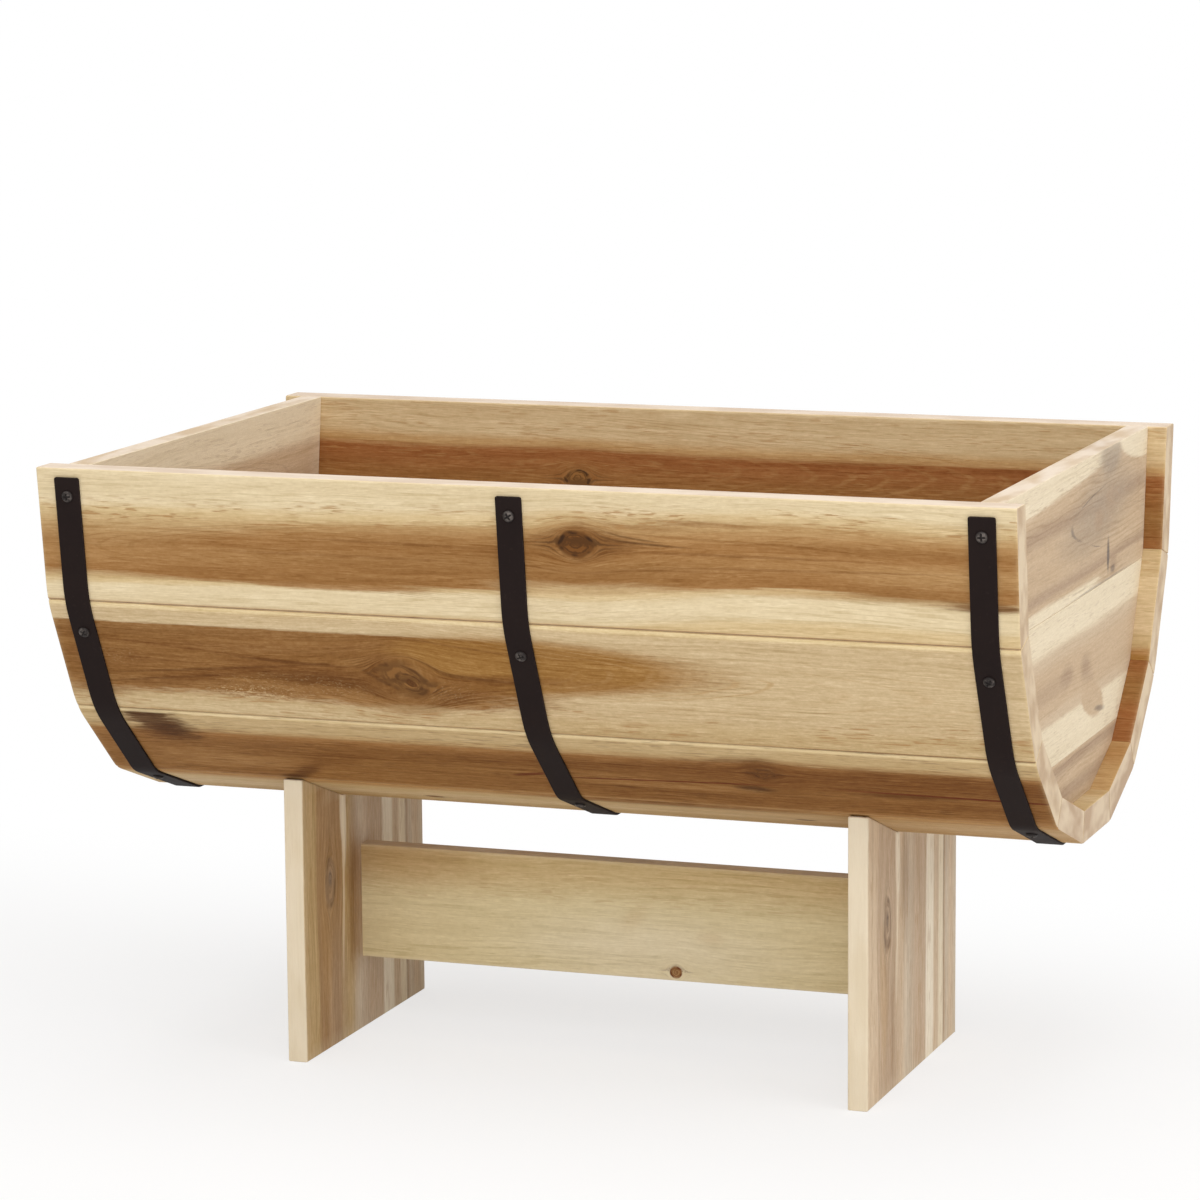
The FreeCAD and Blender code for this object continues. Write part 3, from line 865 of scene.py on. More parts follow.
def staveBoard(name, side):
    width, thick, gap = barrel["widths"][name], barrel["thickness"], barrel["seamGap"]
    below = staveBelow[name]
    upper = [(0.0, 0.0)] if name == "rim" else softSeam(name)
    lower = [(width - away, sunk) for away, sunk in reversed(softSeam(below))]
    if name != "rim":
        upper[0] = (upper[0][0] + gap, upper[0][1])
    lower[-1] = (lower[-1][0] - gap, lower[-1][1])
    face = upper + lower
    rounds = [0.0] * len(face)
    rounds[0] = barrel["rimRound"] if name == "rim" else barrel["upperRound"]
    rounds[-1] = barrel["upperRound"] if name == "bottom" else barrel["lowerRound"]
    innerTop = barrel["rimRound"] if name == "rim" else barrel["innerRound"]
    inner = [(width - thick * math.tan(mitres[below]), thick), (thick * math.tan(mitres[name]), thick)]
    return {
        "corners": face + inner,
        "rounds": rounds + [barrel["innerRound"], innerTop],
        "reach": (-barrel["length"] / 2, barrel["length"] / 2),
        "endRound": barrel["endRound"],
        "spacing": 8.0,
        "lengthStep": 10.0,
        "place": staveMatrix(name, side),
        "grain": lambda p, q, r: (r * -side, p, q),
    }


sawnEnds = [((1.0, 0.0, 0.0), "endPale", "endDark", 1.0)]
sawnRim = sawnEnds + [((0.0, 0.0, 1.0), "pink", "pinkDark", 0.9)]

staveLooks = {
    "rimFront": {
        "seed": 3.1, "lean": 0.0185, "drift": 2.0, "ragged": 2.6, "swell": (5.0, 165, 130),
        "bands": [
            (0, "sap"), (13, "sap"), (21, "sapWarm"), (26.5, "honey"), (31, "heart"), (38, "heartDeep"),
            (46, "heart"), (56, "heartDeep"), (60, "heartDeep"), (62.5, "sapWarm"), (66, "sap"),
            (77, "sap"), (82.5, "sapWarm"),
        ],
        "knots": [knot(39.5, 32.3, 11.2, 8.0, "brownDeep", "bark", 0.96, wobble=0.15)],
        "patches": [
            patch(10, 48, 110, 12, "brown", 0.5), patch(-100, 60, 60, 4, "brown", 0.45),
            patch(44, 31.5, 40, 11, "brownDeep", 0.75, edge=0.45, square=1.0, flow=False),
            patch(235, 54, 45, 4, "brown", 0.6), patch(284, 58.5, 28, 2.4, "brownDeep", 0.85),
            patch(230, 29, 60, 3.5, "brown", 0.4), haze(255, 43, 50, 6, "honey", 0.4),
            haze(130, 19, 100, 6, "honey", 0.35, ragged=1.2),
            haze(112, 17.5, 26, 1.6, "brown", 0.6, ragged=1.4),
            haze(80, 22, 26, 1.8, "brown", 0.5, ragged=1.2),
            patch(-118, 64, 66, 3.0, "heartDeep", 0.85, edge=0.35, ragged=0.4),
            haze(-250, 30, 80, 6, "sapWarm", 0.6), haze(-268, 37, 62, 8, "honey", 0.6),
            patch(-268, 66, 52, 3.4, "sapWarm", 0.6), patch(50, 58.5, 54, 5, "sapWarm", 0.6, ragged=0.4),
            haze(-40, 35, 80, 6, "brown", 0.35), haze(178, 55.5, 34, 2.6, "honey", 0.5),
            patch(-150, 52, 96, 13, "brown", 0.22, edge=0.25, ragged=0.3),
            vein(-70, 37, 62, 0.8, "brownDeep", 0.4, lean=0.01), vein(130, 35, 80, 0.8, "brownDeep", 0.45),
            vein(170, 42, 90, 0.8, "brownDeep", 0.35, lean=-0.02),
            vein(118, 26.5, 60, 0.7, "brown", 0.6, lean=0.02),
            vein(80, 30.5, 26, 0.6, "umber", 0.6, lean=0.04),
            vein(74, 28, 18, 0.5, "umber", 0.5, lean=0.08), vein(-110, 46, 80, 0.8, "brownDeep", 0.3),
            vein(60, 45, 70, 0.8, "brownDeep", 0.35),
        ],
        "flames": [
            flame(-282, 46, 1, 15, 20, 190, "brown", 0.45), flame(150, 30, 1, 16, 26, 170, "brown", 0.3),
        ],
        "dashes": 0.75, "dashesAt": (20, 11),
    },
    "sideFront": {
        "seed": 8.4, "drift": 2.0, "ragged": 2.0,
        "bands": [(0, "sapWarm"), (6, "pale"), (30, "pale"), (60, "pale"), (70, "straw"), (79.9, "straw")],
        "knots": [
            knot(-78, 44, 15, 11, "brown", "umber", 0.75, lean=0.35, pull=0.85, wobble=0.3, reach=1.35),
            knot(-75, 46.5, 8.5, 6.4, "brown", "umber", 0.75, lean=0.3, pull=0.2, wobble=0.25),
            knot(-74, 47.2, 3.4, 2.6, "walnut", "umber", 0.8, lean=0.3, pull=0.1, wobble=0.4),
        ],
        "patches": [
            patch(-172, 33, 180, 20, "brown", 0.97, square=9.0, edge=0.05, ragged=0.05, flow=False),
            patch(-172, 42, 178, 20.5, "brown", 0.97, square=6.0, edge=0.17, ragged=0.3),
            haze(-180, 73, 130, 6, "sap", 0.4),
            patch(4, 31, 84, 18.5, "golden", 0.92, edge=0.22, ragged=0.12),
            patch(54, 31, 66, 14, "golden", 0.65, edge=0.5),
            patch(-205, 49, 52, 4, "brownDeep", 0.65, lean=-0.17),
            patch(-140, 43, 45, 6, "brownDeep", 0.7, lean=0.1),
            patch(-28, 43, 40, 3.4, "brownDeep", 0.75, lean=-0.06),
            patch(-45, 53, 36, 5, "brownDeep", 0.5, lean=-0.16), haze(-135, 47, 40, 4.5, "walnut", 0.5),
            vein(246, 79.2, 66, 0.9, "umber", 0.9, square=5.0, ragged=0.2, flow=False),
            patch(-170, 28, 80, 3, "brownDeep", 0.45), haze(-270, 40, 40, 6, "brownDeep", 0.4, ragged=0.9),
            patch(-90, 38.5, 11, 9, "brownDeep", 0.65, ragged=0.3, flow=False),
            patch(-93, 46, 9, 1.6, "umber", 0.5, lean=0.6, flow=False),
            haze(-150, 26, 52, 5, "heart", 0.45), patch(-287, 62, 34, 6, "brown", 0.6),
            vein(-200, 32, 78, 0.9, "brownDeep", 0.55, lean=0.09),
            vein(-205, 45, 66, 1.0, "walnut", 0.5, lean=-0.1),
            vein(-235, 40, 40, 0.8, "brownDeep", 0.5, lean=0.05),
            vein(-232, 53, 42, 0.9, "walnut", 0.45, lean=-0.12),
            vein(-40, 41.5, 36, 1.0, "walnut", 0.55, lean=0.03),
            vein(-34, 51, 30, 0.9, "brownDeep", 0.55, lean=-0.16),
            vein(-150, 37, 40, 0.9, "walnut", 0.5, lean=0.06),
            vein(-44, 22, 60, 0.8, "brownDeep", 0.4, lean=0.03),
            patch(-68, 67, 38, 3.5, "straw", 0.5, flow=False), haze(30, 42, 30, 4, "brown", 0.4),
        ],
        "flames": [
            flame(150, 34, -1, 18, 24, 170, "honey", 0.55), flame(285, 38, -1, 17, 46, 170, "honey", 0.3),
        ],
        "torn": [
            patch(-178, 60, 38, 6, "sapWarm", 0.5), patch(-150, 52, 62, 8, "sapWarm", 0.18),
            patch(-52, 50, 22, 7, "sapWarm", 0.16), patch(-262, 38, 16, 8, "sapWarm", 0.12),
        ],
        "dashes": 0.7, "dashesAt": (66, 14), "mottle": 0.32,
    },
    "bilgeFront": {
        "seed": 14.7, "lean": 0.006, "drift": 1.5, "ragged": 2.0,
        "bands": [
            (0, "straw"), (13, "straw"), (17, "tan"), (22, "heartDeep"), (32, "brown"), (54, "brown"),
            (66, "brown"), (70, "heart"), (71.3, "heart"),
        ],
        "knots": [knot(132, 29.5, 7, 5.4, "brownDeep", "umber", 0.8, wobble=0.35, pull=0.7, reach=1.5)],
        "patches": [
            patch(210, 31, 220, 12, "brownDeep", 0.95), patch(180, 58, 230, 10, "brownDeep", 0.5),
            haze(-120, 33, 150, 8, "brownDeep", 0.35), haze(-225, 52, 40, 9, "heart", 0.4),
            patch(-251, 11, 17, 13, "walnut", 0.8, lean=0.3, edge=0.4, ragged=1.3),
            patch(-249, 23, 18, 8.5, "walnut", 0.7, ragged=1.4),
            patch(-249, 11, 15, 9, "umber", 0.65, lean=0.35, edge=0.8, ragged=2.4),
            patch(-244, 21, 12, 6, "umber", 0.5, lean=0.3, edge=0.8, ragged=2.4),
            patch(-257, 4, 13, 3.5, "umber", 0.7, edge=0.5),
            patch(-170, 62, 14, 5.5, "walnut", 0.75, lean=-0.75), patch(-178, 68, 8, 3, "umber", 0.6),
            haze(-145, 45, 22, 8, "brownDeep", 0.5, lean=-0.3),
            patch(122, 17, 17, 4, "walnut", 0.32, ragged=0.8), haze(131, 26, 10, 8, "walnut", 0.5),
            patch(122, 45, 11, 3.6, "umber", 0.8),
            patch(-18, 46.5, 11, 1.6, "gum", 0.85, lean=-0.2, edge=0.5),
            patch(70, 48.5, 50, 4, "heart", 0.6, edge=0.5),
            vein(64, 44.8, 60, 0.75, "gum", 0.9, lean=-0.045, square=6.0, ragged=0.12, flow=False),
            vein(246, 43, 62, 0.95, "gum", 0.95, lean=0.012, square=6.0, ragged=0.12, flow=False),
            vein(40, 54, 9, 0.9, "walnut", 0.7), haze(38, 63, 4, 3, "brownDeep", 0.7),
            patch(217, 45, 26, 2.4, "walnut", 0.7, ragged=0.7), haze(235, 60, 4, 2.2, "walnut", 0.5),
        ],
        "dashes": 0.35, "dashTone": "walnut",
    },
    "lowFront": {
        "seed": 19.2, "lean": 0.01, "drift": 3.0,
        "bands": [
            (0, "heart"), (6, "honey"), (13, "straw"), (36, "pale"), (46, "straw"), (56, "tan"),
            (65.6, "straw"),
        ],
        "knots": [knot(-103, 42, 6, 4, "brown", "umber", 0.7)],
        "patches": [
            haze(280, 30, 190, 40, "heartDeep", 0.45), patch(137, 37, 6, 2.6, "umber", 0.7),
            haze(60, 2, 85, 9, "brownDeep", 0.7),
        ],
        "dashes": 0.4,
    },
    "bottom": {
        "seed": 23.9, "drift": 6.0,
        "bands": [(0, "tan"), (20, "straw"), (40, "pale"), (54, "tan"), (69, "straw")],
        "flames": [flame(-240, 33, 1, 16, 28, 380, "heart", 0.4)], "dashes": 0.4,
    },
    "lowBack": {
        "seed": 27.3, "drift": 5.0,
        "bands": [(0, "straw"), (20, "tan"), (34, "heart"), (50, "heart"), (65.6, "tan")],
        "inside": [(0, "honey"), (18, "heart"), (40, "honey"), (65.6, "honey")],
        "flames": [flame(180, 36, -1, 14, 24, 260, "brown", 0.4)], "dashes": 0.4,
    },
    "bilgeBack": {
        "seed": 31.6, "drift": 4.0,
        "bands": [
            (0, "pale"), (12, "straw"), (22, "heart"), (50, "heartDeep"), (60, "tan"), (71.3, "straw"),
        ],
        "inside": [(0, "russet"), (25, "brown"), (48, "russet"), (71.3, "russet")],
        "knots": [knot(140, 36, 12, 8, "brown", "umber", 0.8)],
        "flames": [flame(-230, 38, 1, 14, 22, 240, "brown", 0.4)], "dashes": 0.4,
    },
    "sideBack": {
        "seed": 36.8, "lean": -0.012, "drift": 3.0,
        "bands": [
            (0, "sap"), (20, "sapWarm"), (30, "heart"), (52, "brown"), (60, "heart"), (66, "sap"),
            (79.9, "sapWarm"),
        ],
        "inside": [
            (0, "straw"), (30, "pale"), (60, "pale"), (70, "straw"), (76, "heart"), (79.9, "golden"),
        ],
        "knots": [knot(-120, 40, 13, 8, "brown", "bark", 0.85)],
        "patches": [patch(-120, 40, 46, 12, "brownDeep", 0.6, edge=0.5, square=1.0)],
        "flames": [flame(240, 44, -1, 15, 24, 260, "brown", 0.4)], "dashes": 0.5, "dashesAt": (24, 14),
    },
    "rimBack": {
        "seed": 41.5, "lean": 0.006, "drift": 3.0,
        "bands": [(0, "pale"), (26, "straw"), (38, "sapWarm"), (60, "pale"), (82.5, "tan")],
        "inside": [
            (0, "pale"), (22, "pale"), (30, "honey"), (35, "russet"), (60, "brown"), (82.5, "russet"),
        ],
        "knots": [knot(90, 50, 9, 6, "brown", "bark", 0.85)],
        "flames": [flame(-200, 42, 1, 20, 26, 330, "heart", 0.5)], "dashes": 0.5,
    },
}

legScrews = {
    "x": 180.25,
    "along": 33.0,
    "headRadius": 4.0,
    "shankRadius": 2.0,
    "length": 49.5,
    "cone": 2.4,
    "sunk": 0.1,
    "topRound": 0.15,
    "edge": (0.25, 0.5),  # the head's rim, from and to below the wood
    "taper": 4.0,
    "play": 0.1,  # between the head and its seat
    "boreSides": 32,
    "recess": {"from": -0.2, "deep": 1.6, "reach": 2.2, "half": 0.5},
}


def boreMesh(matrix):  # room for a countersunk screw, open to the inside of the stave
    radius, shank = legScrews["headRadius"] + legScrews["play"], legScrews["shankRadius"]
    proud, rim, tip = 1.0, -0.4, -legScrews["cone"] - 0.2
    profile = [(0, proud), (radius, proud), (radius, rim), (shank, tip), (0, tip)]
    return lathe(profile, legScrews["boreSides"], matrix)


def legScrewMatrices(side):
    across = barrel["widths"]["low"] - legScrews["along"]
    result = []
    for x in (-legScrews["x"], legScrews["x"]):
        seat = staveMatrix("low", side) @ Matrix.Translation((across, barrel["thickness"], x))
        result.append(seat @ Matrix.Rotation(math.radians(-90), 4, "X"))
    return result


def drainMesh(x):  # room for a drain hole, wider outside the wood so that its edges are broken
    radius, thick, bevel = barrel["drainRadius"], barrel["thickness"], barrel["drainBreak"]
    wide, deep, proud, clear = radius + bevel, 0.8, 0.2, 30.0
    profile = [
        (0, -clear), (wide, -clear), (wide, -proud), (radius, deep), (radius, thick - deep),
        (wide, thick + proud), (wide, 2 * clear), (0, 2 * clear),
    ]
    place = Matrix.Translation((x * mm, 0, barrel["clearHeight"] * mm)) @ Matrix.Scale(mm, 4)
    return lathe(profile, barrel["drainSides"], place)


def seamMarks(name):  # the glued seam at a stave's foot, and a painted highlight along the eased upper edge
    seam = {"square": 8.0, "flow": False}
    foot = barrel["widths"][name]
    marks = [
        patch(0, foot, 900, 2.0, "golden", 0.4, ragged=0.3, **seam),
        patch(0, foot, 900, 1.1, "gum", 0.9, edge=0.5, ragged=0.2, **seam),
    ]
    if name in ("side", "bilge"):
        # painted highlight along the eased upper edge, where it catches the light
        marks.append(patch(0, 1.5, 900, 1.3, "sapLight", 0.7, ragged=0.3, **seam))
    return marks


for name in staveNames:
    sides = {"": -1} if name == "bottom" else {"Front": -1, "Back": 1}
    for label, side in sides.items():
        look = staveLooks[name + label]
        look |= {
            "span": (0.0, barrel["widths"][name]),
            "thick": barrel["thickness"],
            "patches": look.get("patches", []) + seamMarks(name),
            "sawn": sawnRim if name == "rim" else sawnEnds,
            "wornTone": "sapLight",
            "wear": barrel["shortWear" if name in ("low", "bottom") else "wear"],
        }
        holes = []
        if name == "bottom":
            holes = [drainMesh(x) for x in barrel["drains"]]
        if name == "low":
            holes = [boreMesh(matrix) for matrix in legScrewMatrices(side)]
        node = f"stave_{name}_{label.lower()}".rstrip("_")
        addBoard(
            f"stave{name.capitalize()}{label}", staveBoard(name, side), look, [node], holes,
        )
print("staves done")

# End boards, three planks each

endBoards = {
    "outer": 288.0,
    "inner": 274.0,
    "joints": (297.87, 207.5),
    "topRound": 1.2,
    "jointRound": 0.25,
    "faceRound": 0.6,  # of the upper planks' edges
    "cornerClear": 0.5,  # a corner of the barrel nearer to a joint than this falls on it
    "plain": {"streaks": 0.12, "fibres": 0.2, "dashes": 0.3, "dashTone": "ashDark"},
    "looks": {
        "upperRight": {
            "seed": 52.3, "span": (0.0, 81.5), "drift": 1.0, "ragged": 1.5,
            "bands": [
                (0, "ash"), (20, "ash"), (31, "ashDark"), (40, "ash"), (60, "ash"), (68, "ashDark"),
                (73, "ash"), (76, "endCream"), (81.5, "endCream"),
            ],
            "patches": [
                patch(-70, -8, 190, 23, "endCream", 0.97, lean=-0.04, square=4.0, edge=0.08, ragged=0.08),
                patch(78, 3, 27, 14, "ashGrey", 0.95, edge=0.4, ragged=0.2),
                patch(120, 77, 75, 8, "ash", 0.95, square=3.0, edge=0.15, ragged=0.2),
                patch(185, -2, 84, 19.5, "endCream", 0.97, edge=0.06, ragged=0.06),
                haze(70, 28, 60, 16, "ashGrey", 0.6), haze(25, 44, 62, 14, "ashGrey", 0.6),
                haze(48, 41, 11, 6, "ashDark", 0.75), patch(76, 34, 12, 8, "ashDark", 0.5, edge=0.8),
                patch(72, 66, 3.2, 9.5, "slate", 0.85, edge=0.45, ragged=0.2, flow=False),
                haze(85, 73, 8, 6, "ashDark", 0.9), patch(84, 76, 5, 2, "slate", 0.6),
                vein(55, 81, 62, 0.9, "slate", 0.6, square=5.0, flow=False),
            ],
            "flames": [
                flame(-20, 38, 1, 21, 34, 30, "slate", 0.6, 0.03, 100),
                flame(70, 30, 1, 15, 24, 90, "ashDark", 0.6),
            ],
            "lines": 0.2, "dashes": 0.35,
        },
        "middleRight": {
            "seed": 57.9, "span": (81.5, 171.9), "drift": 1.5, "ragged": 1.0,
            "bands": [
                (81.5, "endCream"), (99, "endCream"), (106, "ashPale"), (116, "ash"), (134, "ash"),
                (144, "ashPale"), (148, "endCream"), (171.9, "endCream"),
            ],
            "patches": [
                patch(-70, 126, 50, 6, "ashDark", 0.5), patch(-30, 124, 14, 6, "ashDark", 0.9),
                haze(17, 126, 10, 7, "ashDark", 0.9), haze(27, 138, 9, 9, "ashDark", 0.6),
                patch(34, 148, 28, 11, "ash", 0.95, lean=0.22, edge=0.15, ragged=0.2),
                patch(52, 157, 11, 1.7, "slate", 0.6, lean=0.14),
            ],
            "streaks": 0.1, "lines": 0.12, "dashes": 0.25,
        },
        "lowerRight": {
            "seed": 61.4, "span": (171.9, 203.5),
            "bands": [(171.9, "ash"), (176, "ashDark"), (186, "ash"), (194, "ashDark"), (203.5, "ash")],
            "streaks": 0.15, "fibres": 0.22,
        },
        "upperLeft": {
            "seed": 66.2, "span": (0.0, 81.5), "drift": 4.0,
            "bands": [
                (0, "endCream"), (22, "endCream"), (32, "ash"), (60, "ashDark"), (72, "ash"),
                (81.5, "endCream"),
            ],
            "knots": [knot(-60, 50, 10, 7, "ashDark", "umber", 0.8)],
            "flames": [flame(120, 44, -1, 18, 22, 160, "ashDark", 0.6)],
        },
        "middleLeft": {
            "seed": 71.7, "span": (81.5, 171.9), "drift": 4.0,
            "bands": [
                (81.5, "ash"), (100, "ashDark"), (116, "ash"), (124, "endCream"), (150, "endCream"),
                (160, "ash"), (171.9, "ash"),
            ],
            "flames": [flame(-110, 104, 1, 18, 22, 200, "ashDark", 0.6)],
        },
        "lowerLeft": {
            "seed": 76.1, "span": (171.9, 203.5),
            "bands": [(171.9, "endCream"), (186, "ash"), (203.5, "ash")],
            "streaks": 0.15, "fibres": 0.22, "dashTone": "heart",
        },
    },
}
rimInnerZ = innerCorners[-1][1]
# p across, q up
upright = Matrix.Scale(mm, 4) @ Matrix(((0, 0, 1, 0), (1, 0, 0, 0), (0, 1, 0, 0), (0, 0, 0, 1)))


def wallAt(height):  # how far out the barrel's inner face is at a height
    for (lowY, lowZ), (highY, highZ) in zip(innerCorners, innerCorners[1:]):
        if lowZ <= height <= highZ:
            return lowY + (highY - lowY) * (height - lowZ) / (highZ - lowZ)
    return innerCorners[-1][0]


def plankOutline(bottom, top):
    clear = endBoards["cornerClear"]
    heights = [bottom] + [z for y, z in innerCorners if bottom + clear < z < top - clear] + [top]
    right = [(wallAt(height), height) for height in heights]
    return right + [(-y, z) for y, z in reversed(right)]


upperJoint, lowerJoint = endBoards["joints"]
plankHeights = {
    "upper": (upperJoint, rimInnerZ), "middle": (lowerJoint, upperJoint),
    "lower": (innerCorners[0][1], lowerJoint),
}
for label, sign in (("Left", -1), ("Right", 1)):
    for plank, (bottom, top) in plankHeights.items():
        corners = plankOutline(bottom, top)
        rimmed = plank == "upper"
        board = {
            "corners": corners,
            "rounds": [endBoards["topRound" if rimmed and z == top else "jointRound"] for y, z in corners],
            "reach": sorted((sign * endBoards["inner"], sign * endBoards["outer"])),
            "endRound": endBoards["faceRound" if rimmed else "jointRound"],
            "spacing": 12.0,
            "lengthStep": 5.0,
            "slices": {0: range(-160, 161, 12), 1: range(180, 380, 10)},
            "place": upright,
            "grain": lambda p, q, r: (p, rimInnerZ - q, endBoards["outer"] - abs(r)),
        }
        look = endBoards["plain"] | endBoards["looks"][plank + label]
        look["sawn"] = [((0.0, 0.0, 1.0), "pink", "ash", 0.85)] if rimmed else []
        node = f"end_plank_{plank}_{label.lower()}"
        addBoard(f"endPlank{plank.capitalize()}{label}", board, look, [node])
print("end boards done")

# Legs, cut to cradle the barrel, and the stretcher between them

legs = {
    "inner": 174.0,
    "outer": 186.5,
    "halfWidth": 98.0,
    "tip": 178.0,
    "round": 0.9,
    "insideTones": {"legTan": "straw", "legBrown": "legShade"},  # painted shade, warmer and yellower, on the left leg's inner face towards the front
    "yellowTo": -30.0,
    # painted shade on the left leg beside the stretcher's end, as a darker patch of the wood
    "leftStain": patch(94, -17, 40, 12, "brown", 0.6, square=4.0, edge=0.4, ragged=0.3, flow=False),
    "rightSeed": 3.3,  # added for the right leg
    "look": {
        "seed": 83.5, "span": (-98.0, 98.0), "thick": 12.5, "drift": 1.4, "ragged": 1.6,
        "bands": [
            (-98, "cream"), (-96.8, "cream"), (-95.5, "legTan"), (-78, "legTan"), (-73, "legBrown"),
            (-44, "legBrown"), (-40, "legTan"), (-30, "legTan"), (-12, "legGrey"), (8, "legBrown"),
            (26, "legBrown"), (29, "legPale"), (42.5, "legPale"), (47, "legTan"), (54.5, "legTan"),
            (57.5, "cream"), (65.5, "cream"), (68.5, "ashDark"), (70, "legBrown"), (73, "legGrey"),
            (84, "legTan"), (97, "legGrey"),
        ],
        "knots": [knot(73, -57, 17, 8, "ashDark", "umber", 0.5, wobble=0.3)],
        "patches": [
            patch(34, -37, 30, 4.6, "legPale", 0.9, edge=0.3, ragged=0.25),
            patch(85, -39, 48, 1.8, "cream", 0.8, edge=0.35, ragged=0.25),
            patch(52, -20, 30, 9, "ashDark", 0.6),
            patch(70, -57, 5, 2.6, "slate", 0.9, edge=0.5, flow=False),
            patch(150, -46, 50, 14, "ashDark", 0.5), patch(115, -63, 40, 7, "honey", 0.35, edge=0.5),
        ],
        "streaks": 0.26, "lines": 0.2, "fibres": 0.38, "dashes": 0.35,
        "sawn": [((0.0, 0.0, 1.0), "endPale", "endDark", 1.0), ((0.0, 1.0, 0.0), "cream", "leg", 0.85)],
    },
}
lowY, lowZ = seams["low"]
tipInner = lowY - (lowZ - legs["tip"]) / math.tan(math.radians(barrel["angles"]["low"]))
halfLeg = [
    (legs["halfWidth"], 0.0), (legs["halfWidth"], legs["tip"]), (tipInner, legs["tip"]), seams["bottom"],
]
legOutline = halfLeg + [(-y, z) for y, z in reversed(halfLeg)]
for label, sign in (("Left", -1), ("Right", 1)):
    board = {
        "corners": legOutline,
        "rounds": [legs["round"]] * len(legOutline),
        "reach": sorted((sign * legs["inner"], sign * legs["outer"])),
        "endRound": legs["round"],
        "spacing": 10.0,
        "lengthStep": 4.0,
        "slices": {0: range(-90, 91, 10), 1: range(10, 178, 12)},
        "place": upright,
        "grain": lambda p, q, r: (legs["tip"] - q, p, legs["outer"] - abs(r)),
    }
    look = legs["look"] | {"seed": legs["look"]["seed"] + (sign > 0) * legs["rightSeed"]}
    # painted shade on the left leg: its inner face towards the front, and beside the stretcher's end
    if sign < 0:
        look["inside"] = [
            (place, legs["insideTones"].get(shade, shade) if place <= legs["yellowTo"] else shade)
            for place, shade in look["bands"]
        ]
        look["patches"] = look["patches"] + [legs["leftStain"]]
    addBoard(f"leg{label}", board, look, [f"leg_{label.lower()}"])

stretcher = {
    "half": 174.0,
    "low": 46.4,
    "high": 119.4,
    "halfThick": 6.5,
    "round": 1.0,
    "endRound": 0.1,
    "look": {
        "seed": 90.8, "span": (0.0, 73.0), "lean": 0.012, "drift": 7.0, "ragged": 3.0,
        # painted shade: darker along the top of the stretcher, under the barrel
        "bands": [(0, "pineDeep"), (8, "pineDeep"), (34, "pine"), (60, "pine"), (73, "pine")],
        "knots": [knot(36, 67.5, 4.0, 3.8, "heart", "gum", 0.95, reach=1.4, wobble=0.15)],
        "patches": [
            haze(8, 36, 8, 6, "pineDeep", 0.5, lean=-0.5, ragged=0.2),
            haze(58, 45, 8, 4, "pineDeep", 0.5, ragged=0.2), patch(33, 72.5, 5, 1.6, "gum", 0.6, edge=0.5),
            haze(-165, 6, 60, 16, "honey", 0.6),
            patch(18, 56, 75, 20, "legPale", 0.35, edge=0.8, ragged=0.3),
        ],
        "streaks": 0.18, "lines": 0.2, "fibres": 0.34,
        "dashes": 0.4, "dashTone": "honey", "dashesAt": (18, 16),
        "sawn": [((0.0, 0.0, 1.0), "pink", "pinkDark", 0.8)],
    },
}
halfThick = stretcher["halfThick"]
railOutline = [
    (side * halfThick, stretcher[edge])
    for side, edge in ((-1, "low"), (1, "low"), (1, "high"), (-1, "high"))
]
addBoard("stretcher", {
    "corners": railOutline,
    "rounds": [stretcher["round"]] * len(railOutline),
    "reach": (-stretcher["half"], stretcher["half"]),
    "endRound": stretcher["endRound"],
    "spacing": 8.0,
    "lengthStep": 10.0,
    "place": upright,
    "grain": lambda p, q, r: (r, stretcher["high"] - q, p + halfThick),
}, stretcher["look"], ["stretcher"])
print("legs and stretcher done")

# Dark coated metal of the bands and screws

def makeCoatedMetal():  # matt coating with a fine skin, thinner and a little brighter on the edges
    tree, ins, outs = newGroup(
        "coatedMetal",
        ["Coat Color", "Worn Color", "Wear", "Roughness", "Seed"],
        ["Color", "Roughness", "Height"],
    )
    position = addNode("ShaderNodeNewGeometry").outputs["Position"]
    place = vectorCalc("ADD", stretch(position, *[1 / mm] * 3), join(ins["Seed"], 0.0, 0.0))

    def layer(scale, detail, roughness=0.5):
        return cloud(stretch(place, scale, scale, scale), detail, roughness)

    skin, cloudy = layer(1.4, 3.0, 0.6), layer(0.05, 3.0, 0.6)
    speck = ease(layer(0.5, 2.0), 0.62, 0.74)
    arris = attribute("arris", "Fac")
    broken = ease(layer(0.25, 3.0, 0.65), 0.4, 0.68)
    rubbed = times(times(arris, broken), ins["Wear"])
    lighter = timesPlus(speck, 0.10, times(cloudy, 0.16))
    coated = mixColours(lighter, ins["Coat Color"], ins["Worn Color"])
    feed(outs["Color"], mixColours(rubbed, coated, ins["Worn Color"]))
    dull = timesPlus(cloudy, 0.18, ins["Roughness"])
    feed(outs["Roughness"], timesPlus(rubbed, -0.15, dull))
    feed(outs["Height"], skin)
    return tree


coatedMetal = makeCoatedMetal()


def metalMaterial(name, look):
    material = clearTree(bpy.data.materials.new(name))
    coat = placed(coatedMetal, {
        "Coat Color": look["coat"], "Worn Color": look["worn"], "Wear": look["wear"],
        "Roughness": look["rough"], "Seed": look["seed"],
    })
    coatSurface(coat["Color"], coat["Roughness"], coat["Height"], look)
    return material


